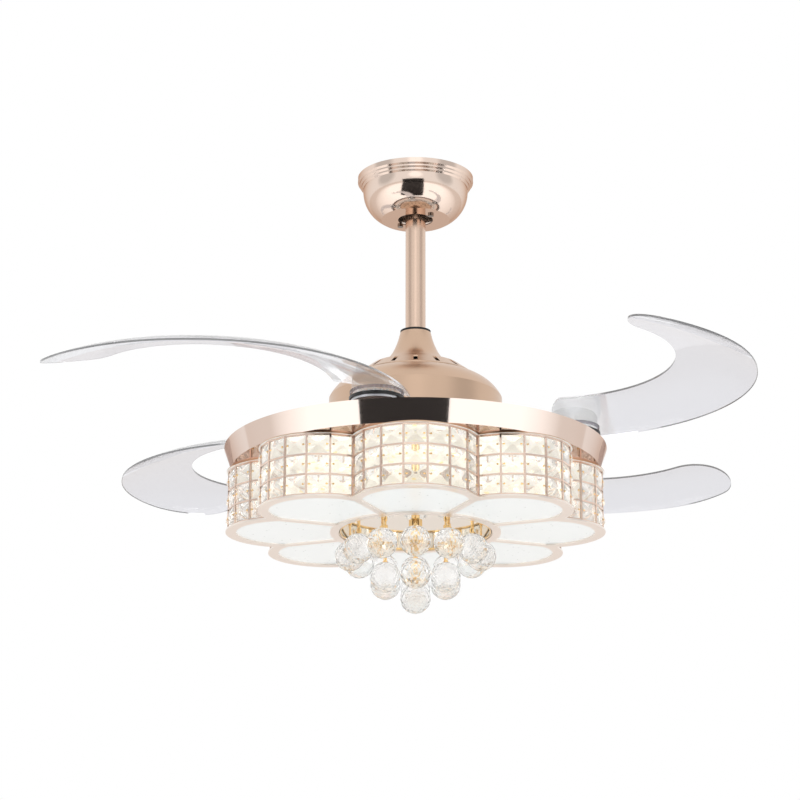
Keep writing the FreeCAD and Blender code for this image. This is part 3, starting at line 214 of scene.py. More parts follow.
# %% White surround and soft boxes
FILL_COLOUR, FILL_STRENGTH = (0.97, 0.98, 1, 1), 0.62
world = bpy.data.worlds.new("studio")
scene.world = world
world.use_nodes = True
tree = world.node_tree
tree.nodes.clear()
output = tree.nodes.new("ShaderNodeOutputWorld")
seen = tree.nodes.new("ShaderNodeBackground")
seen.inputs["Color"].default_value = (1, 1, 1, 1)
seen.inputs["Strength"].default_value = 1.0
fill = tree.nodes.new("ShaderNodeBackground")
fill.inputs["Color"].default_value = FILL_COLOUR
fill.inputs["Strength"].default_value = FILL_STRENGTH
path = tree.nodes.new("ShaderNodeLightPath")
either = math_step(tree, "MAXIMUM", path.outputs["Is Camera Ray"], path.outputs["Is Glossy Ray"])
any_of = math_step(tree, "MAXIMUM", either, path.outputs["Is Transmission Ray"])
sky = mix_shaders(tree, any_of, fill.outputs["Background"], seen.outputs["Background"])
tree.links.new(sky, output.inputs["Surface"])

LAMP_TARGET = Vector((0, 0, -0.35))
# Each box: its place, width, height and power in watts.
SOFT_BOXES = {
    "box_left": ((-2.6, -1.8, -0.6), 1.4, 1.6, 26),
    "box_right": ((2.6, -1.6, -0.5), 1.2, 1.6, 22),
    "box_top": ((0.4, 0.6, 2.2), 2.0, 2.0, 20),
}
for name, (place, width, height, watts) in SOFT_BOXES.items():
    data = bpy.data.lights.new(name, "AREA")
    data.shape = "RECTANGLE"
    data.size = width
    data.size_y = height
    data.energy = watts
    lamp = bpy.data.objects.new(name, data)
    lamp.location = place
    lamp.rotation_mode = "QUATERNION"
    lamp.rotation_quaternion = (LAMP_TARGET - Vector(place)).to_track_quat("-Z", "Y")
    lamp.visible_glossy = False
    scene.collection.objects.link(lamp)
print("soft boxes:", list(SOFT_BOXES))

# %% [markdown]
# Polished plate shows its surroundings, so what stands round it matters as much as the finish.
# These panels are seen only in reflections. A dark card in front, lying and then standing up,
# gives the black patches on rim and canopy; without it rose gold turns into flat pink. Soft
# shades at the sides darken the edges, and two soft glows give the bright areas between.

# %% Cards, shades and glows for the mirrors
PATCH_GAIN = 2.2


def glow_paint(name, strength, cover=1.0):
    """A soft patch of light or shade that fades out towards the rim of its panel."""
    material, tree, surface = new_material(name)
    place = tree.nodes.new("ShaderNodeUVMap")
    centre = tree.nodes.new("ShaderNodeMapping")
    centre.inputs["Location"].default_value = (-1, -1, 0)
    centre.inputs["Scale"].default_value = (2, 2, 0)
    ball = tree.nodes.new("ShaderNodeTexGradient")
    ball.gradient_type = "SPHERICAL"
    tree.links.new(place.outputs["UV"], centre.inputs["Vector"])
    tree.links.new(centre.outputs["Vector"], ball.inputs["Vector"])
    gain = math_step(tree, "MULTIPLY", ball.outputs["Fac"], PATCH_GAIN, clamp=True)
    veil = math_step(tree, "MULTIPLY", gain, cover)
    shine = tree.nodes.new("ShaderNodeEmission")
    shine.inputs["Strength"].default_value = strength
    clear = tree.nodes.new("ShaderNodeBsdfTransparent")
    tree.links.new(mix_shaders(tree, veil, clear.outputs["BSDF"], shine.outputs["Emission"]), surface)
    return material


CARD_BLACK, CARD_ROUGH = (0.012, 0.010, 0.010, 1), 1.0
card_paint, tree, surface = new_material("dark_card")
tree.links.new(plain_paint(tree, CARD_BLACK, CARD_ROUGH), surface)
CARD_Z, CARD_TOP = -1.43, 0.6
CARD_NEAR, NEAR_LEFT, NEAR_RIGHT = -0.95, -0.9, 0.4
CARD_FAR, FAR_LEFT, FAR_RIGHT = -9.0, -4.6, 2.9
LYING_CARD = [(NEAR_LEFT, CARD_NEAR, CARD_Z), (NEAR_RIGHT, CARD_NEAR, CARD_Z),
              (FAR_RIGHT, CARD_FAR, CARD_Z), (FAR_LEFT, CARD_FAR, CARD_Z)]
STANDING_CARD = [(FAR_LEFT, CARD_FAR, CARD_Z), (FAR_RIGHT, CARD_FAR, CARD_Z),
                 (FAR_RIGHT, CARD_FAR, CARD_TOP), (FAR_LEFT, CARD_FAR, CARD_TOP)]
LOW_HALF, LOW_FRONT, LOW_BACK, LOW_Z = 9.0, -11.0, 2.5, -1.44
LOW_GLOW = level_sheet(-LOW_HALF, LOW_HALF, LOW_FRONT, LOW_BACK, LOW_Z)
GLOW_HALF, GLOW_AWAY, GLOW_LEAN = 1.7, -5.0, -0.01
GLOW_BOTTOM, GLOW_TOP = 0.5, 2.9
HIGH_GLOW = [(-GLOW_HALF, GLOW_AWAY, GLOW_BOTTOM), (GLOW_HALF, GLOW_AWAY, GLOW_BOTTOM),
             (GLOW_HALF, GLOW_AWAY + GLOW_LEAN, GLOW_TOP), (-GLOW_HALF, GLOW_AWAY + GLOW_LEAN, GLOW_TOP)]
SIDE_NEAR, SIDE_FRONT = 3.6, -4.0
SIDE_FAR, SIDE_BACK = 5.4, 0.2
SIDE_LOW, SIDE_HIGH = -0.6, 4.4


def side_shade(side):
    """Corners of a tall shade beside the fan, to the left for -1 and to the right for 1."""
    edges = [(side * SIDE_NEAR, SIDE_FRONT), (side * SIDE_FAR, SIDE_BACK)]
    low = [(x, y, SIDE_LOW) for x, y in edges]
    high = [(x, y, SIDE_HIGH) for x, y in reversed(edges)]
    return low + high


shade_paint = glow_paint("side_shade", strength=0.12, cover=0.38)
panels = [
    flat_panel("card_floor", LYING_CARD, card_paint),
    flat_panel("card_back", STANDING_CARD, card_paint),
    flat_panel("shade_left", side_shade(-1), shade_paint),
    flat_panel("shade_right", side_shade(1), shade_paint),
    flat_panel("glow_floor", LOW_GLOW, glow_paint("glow_low", strength=1.4)),
    flat_panel("glow_front", HIGH_GLOW, glow_paint("glow_high", strength=1.35)),
]
for panel in panels:
    panel.visible_camera = False
    panel.visible_diffuse = False
    panel.visible_transmission = False
    panel.visible_shadow = False
print("panels for reflections:", len(panels))

# %% [markdown]
# In a room the canopy closes against the ceiling, so no light falls into it from above. A patch
# of ceiling just over the canopy does the same here. Seen from above it is clear, so that views
# from behind and above still show the bracket.

# %% Ceiling patch
CEILING_GREY, CEILING_ROUGH = (0.55, 0.53, 0.50, 1), 0.9
PATCH_GAP = 0.0005
PATCH_SHARE = 0.7
material, tree, surface = new_material("ceiling_paint")
plaster = plain_paint(tree, CEILING_GREY, CEILING_ROUGH)
shape = tree.nodes.new("ShaderNodeNewGeometry")
path = tree.nodes.new("ShaderNodeLightPath")
clear = tree.nodes.new("ShaderNodeBsdfTransparent")
from_above = math_step(tree, "MULTIPLY", shape.outputs["Backfacing"], path.outputs["Is Camera Ray"])
tree.links.new(mix_shaders(tree, from_above, plaster, clear.outputs["BSDF"]), surface)
canopy_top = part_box("canopy")[1]
patch = PATCH_SHARE * canopy_top.x
flat_panel("ceiling_patch", level_sheet(-patch, patch, patch, -patch, canopy_top.z + PATCH_GAP), material)
print("ceiling patch", round(2 * patch, 3), "m wide")

# %% [markdown]
# Effects that come back in several finishes are shader groups built once. The first two suit
# nearly everything: a slow drift between two tones, as plating and plastics have, and fine
# polishing marks that run round turned pieces. A group gives out only colours, values and
# heights; the shader stays in the material.

# %% Shared effects: tone drift and polishing marks
COLOUR, VALUE = "NodeSocketColor", "NodeSocketFloat"


def new_group(name, inputs, outputs):
    group = bpy.data.node_groups.new(name, "ShaderNodeTree")
    for label, kind, value in inputs:
        socket = group.interface.new_socket(label, in_out="INPUT", socket_type=kind)
        socket.default_value = value
    for label, kind in outputs:
        group.interface.new_socket(label, in_out="OUTPUT", socket_type=kind)
    return group, group.nodes.new("NodeGroupInput").outputs, group.nodes.new("NodeGroupOutput").inputs


def object_place(group, squeeze=(1, 1, 1)):
    """Object coordinates, squeezed or stretched along each axis."""
    place = group.nodes.new("ShaderNodeTexCoord")
    mapping = group.nodes.new("ShaderNodeMapping")
    mapping.inputs["Scale"].default_value = squeeze
    group.links.new(place.outputs["Object"], mapping.inputs["Vector"])
    return mapping.outputs["Vector"]


def noise_over(group, place, scale):
    noise = group.nodes.new("ShaderNodeTexNoise")
    group.links.new(place, noise.inputs["Vector"])
    group.links.new(scale, noise.inputs["Scale"])
    return noise


DRIFT_DETAIL = 3.0
tone_drift, given, result = new_group(
    "tone_drift",
    [("Light tone", COLOUR, (1, 1, 1, 1)), ("Deep tone", COLOUR, (0, 0, 0, 1)), ("Scale", VALUE, 8.0)],
    [("Colour", COLOUR)])
noise = noise_over(tone_drift, object_place(tone_drift), given["Scale"])
noise.inputs["Detail"].default_value = DRIFT_DETAIL
drift = mix_colours(tone_drift, noise.outputs["Fac"], given["Light tone"], given["Deep tone"])
tone_drift.links.new(drift, result["Colour"])

ROUND_MARKS = (0.25, 0.25, 4.0)
MARK_DETAIL, MARK_ROUGHNESS = 5.0, 0.65
polish_marks, given, result = new_group(
    "polish_marks",
    [("Scale", VALUE, 60.0), ("Smooth", VALUE, 0.05), ("Rough", VALUE, 0.2)],
    [("Roughness", VALUE), ("Height", VALUE)])
noise = noise_over(polish_marks, object_place(polish_marks, ROUND_MARKS), given["Scale"])
noise.inputs["Detail"].default_value = MARK_DETAIL
noise.inputs["Roughness"].default_value = MARK_ROUGHNESS
span = map_range(polish_marks, noise.outputs["Fac"], To_Min=given["Smooth"], To_Max=given["Rough"])
polish_marks.links.new(span, result["Roughness"])
polish_marks.links.new(noise.outputs["Fac"], result["Height"])
print("groups:", tone_drift.name, polish_marks.name)

# %% [markdown]
# The lamp needs two more. The opal sheets show small specks in the photograph, and the drum
# plate is gilt outside but white on the side that faces down into the lamp.

# %% Shared effects: specks and under sides
DOWN_LIMIT = -0.7
specks, given, result = new_group(
    "specks",
    [("Scale", VALUE, 90.0), ("Size", VALUE, 0.2), ("Ground", COLOUR, (1, 1, 1, 1)),
     ("Speck", COLOUR, (0.5, 0.5, 0.5, 1))],
    [("Colour", COLOUR)])
cells = specks.nodes.new("ShaderNodeTexVoronoi")
specks.links.new(object_place(specks), cells.inputs["Vector"])
specks.links.new(given["Scale"], cells.inputs["Scale"])
dots = math_step(specks, "LESS_THAN", cells.outputs["Distance"], given["Size"])
specks.links.new(mix_colours(specks, dots, given["Ground"], given["Speck"]), result["Colour"])

under_side, given, result = new_group("under_side", [], [("Down", VALUE), ("Up", VALUE)])
shape = under_side.nodes.new("ShaderNodeNewGeometry")
parts = under_side.nodes.new("ShaderNodeSeparateXYZ")
under_side.links.new(shape.outputs["True Normal"], parts.inputs["Vector"])
below = math_step(under_side, "LESS_THAN", parts.outputs["Z"], DOWN_LIMIT)
under_side.links.new(below, result["Down"])
under_side.links.new(math_step(under_side, "SUBTRACT", 1.0, below), result["Up"])
print("groups:", specks.name, under_side.name)

# %% [markdown]
# Cut crystal shows light and dark facets because each one bends another part of the room into
# view. Here that light and shade is painted into the colour: painted light on facets that lean up,
# painted shade on facets that lean down, and a little noise sets neighbours apart.
# The blades grow clearer towards their roots, and for that a value changes with the radius.

# %% Shared effects: facets and blade roots
NOISE_SHARE = 0.5
RISE_FROM, RISE_TO = 0.20, 0.50
FALL_FROM, FALL_TO = 0.30, 0.0
FLAT_VIEW = (1, 1, 0)
# Painted light and shade for cut crystal: facets that face up get the lit tone, facets that face down the
# shaded one.
painted_facet_shading, given, result = new_group(
    "painted_facet_shading",
    [("Up tone", COLOUR, (1, 1, 1, 1)), ("Side tone", COLOUR, (0.9, 0.9, 0.9, 1)),
     ("Down tone", COLOUR, (0.7, 0.7, 0.7, 1)), ("Scale", VALUE, 40.0)],
    [("Colour", COLOUR)])
shape = painted_facet_shading.nodes.new("ShaderNodeNewGeometry")
parts = painted_facet_shading.nodes.new("ShaderNodeSeparateXYZ")
painted_facet_shading.links.new(shape.outputs["True Normal"], parts.inputs["Vector"])
noise = noise_over(painted_facet_shading, object_place(painted_facet_shading), given["Scale"])
lean = math_step(painted_facet_shading, "MULTIPLY_ADD", noise.outputs["Fac"], NOISE_SHARE, parts.outputs["Z"])
rising = map_range(painted_facet_shading, lean, From_Min=RISE_FROM, From_Max=RISE_TO)
falling = map_range(painted_facet_shading, lean, From_Min=FALL_FROM, From_Max=FALL_TO)
upper = mix_colours(painted_facet_shading, rising, given["Side tone"], given["Up tone"])
painted_facet_shading.links.new(mix_colours(painted_facet_shading, falling, upper, given["Down tone"]), result["Colour"])

root_fade, given, result = new_group(
    "root_fade",
    [("Start", VALUE, 0.2), ("End", VALUE, 0.3), ("Root", VALUE, 0.5), ("Blade", VALUE, 1.0)],
    [("Value", VALUE)])
reach = root_fade.nodes.new("ShaderNodeVectorMath")
reach.operation = "LENGTH"
root_fade.links.new(object_place(root_fade, FLAT_VIEW), reach.inputs[0])
fade = map_range(root_fade, reach.outputs["Value"], From_Min=given["Start"], From_Max=given["End"],
                 To_Min=given["Root"], To_Max=given["Blade"])
root_fade.links.new(fade, result["Value"])
print("groups:", painted_facet_shading.name, root_fade.name)

# %% [markdown]
# Nearly every finish is two close tones and a narrow span of roughness, so one maker serves all.
# Plate is a metal whose colour is its reflection. On the rim and the canopy an edge tint makes
# the outline browner, as the photograph shows it: a painted shade standing for the darker
# surroundings that the outline mirrors.

# %% Metals and plastics
finishes = {}
RELIEF_DEPTH = 0.0004


def use_group(tree, group, **values):
    node = tree.nodes.new("ShaderNodeGroup")
    node.node_tree = group
    for label, value in values.items():
        node.inputs[label.replace("_", " ")].default_value = value
    return node.outputs


def base_finish(name, light, deep, roughness, scale, mark_scale, bump=0.0, metal=0.0):
    """A finish of two tones with polishing marks; returns the shader for more settings."""
    material, tree, surface = new_material(name)
    shader = tree.nodes.new("ShaderNodeBsdfPrincipled")
    shader.inputs["Metallic"].default_value = metal
    smooth, rough = roughness
    drift = use_group(tree, tone_drift, Light_tone=light + (1,), Deep_tone=deep + (1,), Scale=scale)
    marks = use_group(tree, polish_marks, Scale=mark_scale, Smooth=smooth, Rough=rough)
    tree.links.new(drift["Colour"], shader.inputs["Base Color"])
    tree.links.new(marks["Roughness"], shader.inputs["Roughness"])
    if bump:
        relief = tree.nodes.new("ShaderNodeBump")
        relief.inputs["Strength"].default_value = bump
        relief.inputs["Distance"].default_value = RELIEF_DEPTH
        tree.links.new(marks["Height"], relief.inputs["Height"])
        tree.links.new(relief.outputs["Normal"], shader.inputs["Normal"])
    tree.links.new(shader.outputs["BSDF"], surface)
    finishes[name] = material
    return shader, tree


# Each row: light tone, deep tone, least and most roughness, drift scale, mark scale, relief.
METALS = {
    "rose_gold_mirror": ((0.86, 0.75, 0.69), (0.82, 0.70, 0.63), (0.03, 0.09), 6, 40, 0.0),
    # rose_gold_bowl, rose_gold_tube and rose_gold_buffed are one rose gold made lighter or darker per
    # piece: partly a different polish, partly painted light and shade.
    "rose_gold_bowl": ((0.83, 0.69, 0.60), (0.78, 0.63, 0.54), (0.08, 0.13), 8, 50, 0.0),
    "rose_gold_satin": ((0.66, 0.47, 0.345), (0.60, 0.42, 0.30), (0.24, 0.36), 8, 70, 0.06),
    "rose_gold_tube": ((0.74, 0.56, 0.45), (0.69, 0.51, 0.40), (0.20, 0.30), 8, 70, 0.04),
    "rose_gold_buffed": ((0.78, 0.62, 0.53), (0.72, 0.56, 0.47), (0.12, 0.18), 8, 50, 0.0),
    "champagne_satin": ((0.93, 0.85, 0.78), (0.88, 0.79, 0.72), (0.24, 0.36), 8, 70, 0.06),
    "tray_mirror": ((0.95, 0.91, 0.84), (0.90, 0.85, 0.76), (0.04, 0.10), 10, 50, 0.0),
    "gilt_brass": ((0.95, 0.70, 0.36), (0.86, 0.60, 0.28), (0.06, 0.16), 12, 80, 0.0),
    "zinc_steel": ((0.66, 0.67, 0.69), (0.55, 0.56, 0.58), (0.28, 0.45), 20, 90, 0.08),
    "screw_steel": ((0.75, 0.73, 0.71), (0.62, 0.60, 0.58), (0.18, 0.30), 60, 200, 0.05),
    "dark_screw": ((0.30, 0.26, 0.23), (0.20, 0.17, 0.15), (0.18, 0.30), 60, 200, 0.05),
    "bearing_steel": ((0.58, 0.59, 0.61), (0.48, 0.49, 0.51), (0.15, 0.25), 40, 200, 0.0),
    "cast_aluminium": ((0.72, 0.72, 0.73), (0.62, 0.62, 0.63), (0.40, 0.60), 30, 120, 0.2),
    "lamination": ((0.30, 0.30, 0.32), (0.22, 0.22, 0.24), (0.45, 0.60), 30, 300, 0.2),
    "copper": ((0.78, 0.38, 0.18), (0.62, 0.28, 0.12), (0.25, 0.40), 60, 400, 0.4),
}
PLASTICS = {
    "black_enamel": ((0.020, 0.019, 0.019), (0.012, 0.012, 0.012), (0.35, 0.50), 30, 150, 0.0),
    "grey_nylon": ((0.26, 0.25, 0.245), (0.20, 0.19, 0.185), (0.35, 0.50), 30, 180, 0.08),
    "ferrite": ((0.10, 0.10, 0.11), (0.06, 0.06, 0.065), (0.55, 0.75), 30, 150, 0.1),
    "black_plastic": ((0.030, 0.030, 0.033), (0.018, 0.018, 0.020), (0.35, 0.50), 30, 180, 0.12),
    "pad_plastic": ((0.016, 0.015, 0.015), (0.010, 0.010, 0.010), (0.30, 0.48), 30, 180, 0.10),
    "black_rubber": ((0.014, 0.014, 0.014), (0.008, 0.008, 0.008), (0.60, 0.80), 30, 200, 0.15),
    "gear_nylon": ((0.84, 0.83, 0.79), (0.76, 0.75, 0.70), (0.40, 0.55), 20, 120, 0.05),
    "driver_case": ((0.84, 0.84, 0.82), (0.78, 0.78, 0.76), (0.45, 0.60), 20, 160, 0.10),
}
# Painted shade: a brown specular tint darkens the reflection where the eye skims rim and canopy.
EDGE_PAINTED_SHADE = {"rose_gold_mirror": (0.62, 0.47, 0.40, 1), "rose_gold_bowl": (0.62, 0.45, 0.36, 1)}
for name, row in METALS.items():
    shader, tree = base_finish(name, *row, metal=1.0)
    if name in EDGE_PAINTED_SHADE:
        shader.inputs["Specular Tint"].default_value = EDGE_PAINTED_SHADE[name]
for name, row in PLASTICS.items():
    base_finish(name, *row)
print("metals", len(METALS), "plastics and paints", len(PLASTICS))

# %% [markdown]
# Blades are moulded clear acrylic and the lamp hangs full of cut crystal: both let light through
# and bend it by their index. An Alpha a little below 1 lightens the dark rims that many clear
# walls show one behind another. The square crystals also give a little light where the eye skims
# them, which stands for lamp light that leaves them sideways. Both are liberties taken for looks.

# %% Clear finishes
# Each row: light tone, deep tone, least and most roughness, drift scale, mark scale, index, Alpha.
CLEAR = {
    "clear_blade": ((0.795, 0.795, 0.83), (0.765, 0.765, 0.805), (0.0, 0.02), 3, 12, 1.49, 0.94),
    "clear_grip": ((0.50, 0.48, 0.52), (0.42, 0.40, 0.44), (0.0, 0.02), 3, 12, 1.49, 0.94),
    "crystal": ((0.99, 0.985, 0.975), (0.96, 0.955, 0.945), (0.0, 0.015), 20, 60, 1.46, 0.80),
    "cut_crystal": ((0.99, 0.985, 0.975), (0.96, 0.955, 0.945), (0.0, 0.015), 20, 60, 1.46, 0.84),
}
shaders = {}
for name, (light, deep, roughness, scale, mark_scale, index, alpha) in CLEAR.items():
    shader, tree = base_finish(name, light, deep, roughness, scale, mark_scale)
    shader.inputs["Transmission Weight"].default_value = 1.0
    shader.inputs["IOR"].default_value = index
    shader.inputs["Alpha"].default_value = alpha
    shaders[name] = shader

tree = finishes["clear_blade"].node_tree
fade = use_group(tree, root_fade, Start=0.235, End=0.265, Root=0.45, Blade=0.94)
tree.links.new(fade["Value"], shaders["clear_blade"].inputs["Alpha"])

SKIM_BLEND, SKIM_STRENGTH = 0.4, 0.15
SKIM_DARK, SKIM_LIGHT = (0, 0, 0, 1), (1, 0.97, 0.92, 1)
tree = finishes["cut_crystal"].node_tree
# The crystal's colour is painted light and shade: lighter on facets that face up, darker on those that
# face down.
facets = use_group(tree, painted_facet_shading, Up_tone=(0.99, 0.985, 0.97, 1), Side_tone=(0.975, 0.968, 0.96, 1),
                   Down_tone=(0.80, 0.78, 0.745, 1), Scale=55.0)
tree.links.new(facets["Colour"], shaders["cut_crystal"].inputs["Base Color"])
skim = tree.nodes.new("ShaderNodeLayerWeight")
skim.inputs["Blend"].default_value = SKIM_BLEND
spark = mix_colours(tree, skim.outputs["Facing"], SKIM_DARK, SKIM_LIGHT)
tree.links.new(spark, shaders["cut_crystal"].inputs["Emission Color"])
shaders["cut_crystal"].inputs["Emission Strength"].default_value = SKIM_STRENGTH
print("clear finishes:", list(CLEAR))

# %% [markdown]
# The lamp is lit in the photograph, so opal sheets, the board and its LEDs glow at about paper
# white. The drum plate throws light down: its white under side glows too, its gilt side does not.

# %% Lit finishes
LIT_MARKS = {"Scale": 30.0, "Smooth": 0.12, "Rough": 0.25}


def lit_finish(name, ground, speck, scale, size, strength):
    """An opal or white surface with small specks that also gives light."""
    material, tree, surface = new_material(name)
    shader = tree.nodes.new("ShaderNodeBsdfPrincipled")
    dots = use_group(tree, specks, Scale=scale, Size=size, Ground=ground + (1,), Speck=speck + (1,))
    marks = use_group(tree, polish_marks, **LIT_MARKS)
    shader.inputs["Emission Strength"].default_value = strength
    tree.links.new(dots["Colour"], shader.inputs["Base Color"])
    tree.links.new(dots["Colour"], shader.inputs["Emission Color"])
    tree.links.new(marks["Roughness"], shader.inputs["Roughness"])
    tree.links.new(shader.outputs["BSDF"], surface)
    finishes[name] = material


# Each row: ground, speck, scale of the specks, their size and the strength of the glow.
LIT = {
    "diffuser_white": ((0.88, 0.90, 0.88), (0.60, 0.62, 0.59), 95, 0.10, 0.26),
    "board_white": ((0.90, 0.88, 0.82), (0.95, 0.80, 0.40), 60, 0.2, 0.45),
    "led_phosphor": ((0.98, 0.90, 0.60), (0.95, 0.80, 0.40), 300, 0.2, 3.0),
}
for name, row in LIT.items():
    lit_finish(name, *row)

REFLECTOR_GLOW = 0.25
NO_LIGHT = (0, 0, 0, 1)
material, tree, surface = new_material("reflector_plate")
shader = tree.nodes.new("ShaderNodeBsdfPrincipled")
gold = use_group(tree, tone_drift, Light_tone=(0.70, 0.505, 0.365, 1), Deep_tone=(0.62, 0.44, 0.31, 1),
                 Scale=8.0)
paint = use_group(tree, tone_drift, Light_tone=(0.92, 0.90, 0.86, 1), Deep_tone=(0.88, 0.86, 0.81, 1),
                  Scale=20.0)
side = use_group(tree, under_side)
marks = use_group(tree, polish_marks, Scale=70.0, Smooth=0.24, Rough=0.36)
colour = mix_colours(tree, side["Down"], gold["Colour"], paint["Colour"])
light = mix_colours(tree, side["Down"], NO_LIGHT, paint["Colour"])
tree.links.new(colour, shader.inputs["Base Color"])
tree.links.new(side["Up"], shader.inputs["Metallic"])
tree.links.new(light, shader.inputs["Emission Color"])
shader.inputs["Emission Strength"].default_value = REFLECTOR_GLOW
tree.links.new(marks["Roughness"], shader.inputs["Roughness"])
tree.links.new(shader.outputs["BSDF"], surface)
finishes["reflector_plate"] = material
print("finishes:", len(finishes))

# %% [markdown]
# CAD surfaces come as triangles. A small geometry-nodes modifier welds them and shades them
# smooth except across sharp corners, which keeps turned metal clean and cut crystal crisp.

# %% Smooth shading for turned surfaces
WELD_DISTANCE = 0.000002
SHARP_ANGLE = math.radians(24)
smoother = bpy.data.node_groups.new("clean_shading", "GeometryNodeTree")
smoother.interface.new_socket("Geometry", in_out="INPUT", socket_type="NodeSocketGeometry")
smoother.interface.new_socket("Geometry", in_out="OUTPUT", socket_type="NodeSocketGeometry")
given = smoother.nodes.new("NodeGroupInput")
result = smoother.nodes.new("NodeGroupOutput")
weld = smoother.nodes.new("GeometryNodeMergeByDistance")
weld.inputs["Distance"].default_value = WELD_DISTANCE
faces = smoother.nodes.new("GeometryNodeSetShadeSmooth")
edges = smoother.nodes.new("GeometryNodeSetShadeSmooth")
edges.domain = "EDGE"
edges.inputs["Shade Smooth"].default_value = False
angle = smoother.nodes.new("GeometryNodeInputMeshEdgeAngle")
sharp = smoother.nodes.new("FunctionNodeCompare")
sharp.operation = "GREATER_THAN"
sharp.inputs["B"].default_value = SHARP_ANGLE
smoother.links.new(given.outputs[0], weld.inputs["Geometry"])
smoother.links.new(weld.outputs["Geometry"], faces.inputs["Geometry"])
smoother.links.new(faces.outputs["Geometry"], edges.inputs["Geometry"])
smoother.links.new(angle.outputs["Unsigned Angle"], sharp.inputs["A"])
smoother.links.new(sharp.outputs["Result"], edges.inputs["Selection"])
smoother.links.new(edges.outputs["Geometry"], result.inputs[0])


def clean(piece):
    modifier = piece.modifiers.new("clean_shading", "NODES")
    modifier.node_group = smoother


print("modifier:", smoother.name)

# %% [markdown]
# Each node takes the finish of its material slot. A few take a finish of their own where one
# slot covers pieces that look different, such as canopy, rod and cover, all in rose gold: the copies
# for canopy, rod and cage are lighter or darker rose gold, in part a real difference of polish and in
# part painted light and shade. The square crystals get a narrow ground edge, as real ones have,
# which catches the light.

# %% Dress the CAD nodes
CRYSTAL_ROWS = ("crystals_lower", "crystals_middle", "crystals_upper")
SPECIAL = {
    "drum_plate": "reflector_plate",
    "petal_cage": "rose_gold_buffed",
    "canopy_screws": "dark_screw",
    "window_frame": "champagne_satin",
    "mirror_tray": "tray_mirror",
    "hanger_ball": "grey_nylon",
    "canopy": "rose_gold_bowl",
    "downrod": "rose_gold_tube",
    "rotor_shell_top": "black_enamel",
}
for name in CRYSTAL_ROWS:
    SPECIAL[name] = "cut_crystal"
for entry in frame["record"]["subparts"]:
    node = nodes[entry["node"]]
    node.data.materials.clear()
    node.data.materials.append(finishes[SPECIAL.get(entry["node"], entry["material_slot"])])
    clean(node)

GROUND_EDGE = 0.00035
GROUND_ANGLE = math.radians(15)
for name in CRYSTAL_ROWS:
    modifier = nodes[name].modifiers.new("ground_edges", "BEVEL")
    modifier.width = GROUND_EDGE
    modifier.segments = 1
    modifier.limit_method = "ANGLE"
    modifier.angle_limit = GROUND_ANGLE
print("dressed", len(nodes), "nodes")

# %% [markdown]
# The hanging balls are cut crystal with many small flat facets. A plain sphere would look like
# a bubble. Taking the centre of each face of a geodesic sphere and wrapping those points in a
# convex hull gives small five- and six-sided facets, as on a real cut ball.

# %% Cut crystal balls
BALL_RADIUS = 0.0198
BALL_TURN = 1.3
GEODESIC_LEVEL = 3
FLAT_ENOUGH = math.radians(4)
FRONT = -math.pi / 2


def cut_ball(radius):
    """A faceted ball: the hull of a geodesic sphere's face centres."""
    sphere = bmesh.new()
    bmesh.ops.create_icosphere(sphere, subdivisions=GEODESIC_LEVEL, radius=1.0)
    ball = bmesh.new()
    for face in sphere.faces:
        ball.verts.new(face.calc_center_median().normalized() * radius)
    sphere.free()
    bmesh.ops.convex_hull(ball, input=ball.verts)
    bmesh.ops.dissolve_limit(ball, angle_limit=FLAT_ENOUGH, verts=ball.verts, edges=ball.edges)
    return ball


def ring_places(radius, count, height):
    places = []
    for i in range(count):
        a = 2 * math.pi * i / count + FRONT
        places.append(Vector((radius * math.cos(a), radius * math.sin(a), height)))
    return places


def add_piece(name, bm, finish, body):
    """Makes a piece of the finished mesh and lets it ride with its body."""
    mesh = bpy.data.meshes.new(name)
    bm.to_mesh(mesh)
    bm.free()
    mesh.materials.append(finishes[finish])
    piece = bpy.data.objects.new(name, mesh)
    scene.collection.objects.link(piece)
    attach(piece, body)
    return piece


# Each tier: the radius of its ring and its number of balls.
TIERS = {"upper_balls": (0.085, 12), "middle_balls": (0.045, 6), "lowest_ball": (0.0, 1)}
stamp = bpy.data.meshes.new("stamp")
one = cut_ball(BALL_RADIUS)
one.to_mesh(stamp)
one.free()
ball_tops = []
for name, (radius, count) in TIERS.items():
    low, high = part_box(name)
    gathered = bmesh.new()
    for i, place in enumerate(ring_places(radius, count, (low.z + high.z) / 2)):
        start = len(gathered.verts)
        gathered.from_mesh(stamp)
        gathered.verts.ensure_lookup_table()
        moved = Matrix.Translation(place) @ Matrix.Rotation(i * BALL_TURN, 4, "Z")
        bmesh.ops.transform(gathered, matrix=moved, verts=gathered.verts[start:])
        ball_tops.append(place + Vector((0, 0, BALL_RADIUS)))
    balls = add_piece("cut_" + name, gathered, "crystal", "hung_frame")
    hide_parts(name)
    print(name, count)
bpy.data.meshes.remove(stamp)

# %% [markdown]
# A real ball is drilled at the top and hangs from a small gilt cap with a wire loop. The mirror
# tray has a thin gilt trim round its mouth, which the mirror doubles. Both rings are the same
# shape, a wire bent into a circle, so one function sweeps a small circle round a large one.

# %% Gilt caps, loops and tray trim
CAP_WIDE, CAP_NARROW, CAP_TALL, CAP_SIDES = 0.0042, 0.0020, 0.0030, 16
CAP_RAISE = 0.3 * CAP_TALL
LOOP_RADIUS, LOOP_WIRE, LOOP_TURN = 0.0024, 0.0005, 0.7
LOOP_STEPS = (18, 6)
TRAY_MOUTH, TRIM_WIRE = 0.099, 0.0012
TRIM_RADIUS = TRAY_MOUTH - 1.5 * TRIM_WIRE
TRIM_STEPS = (120, 10)


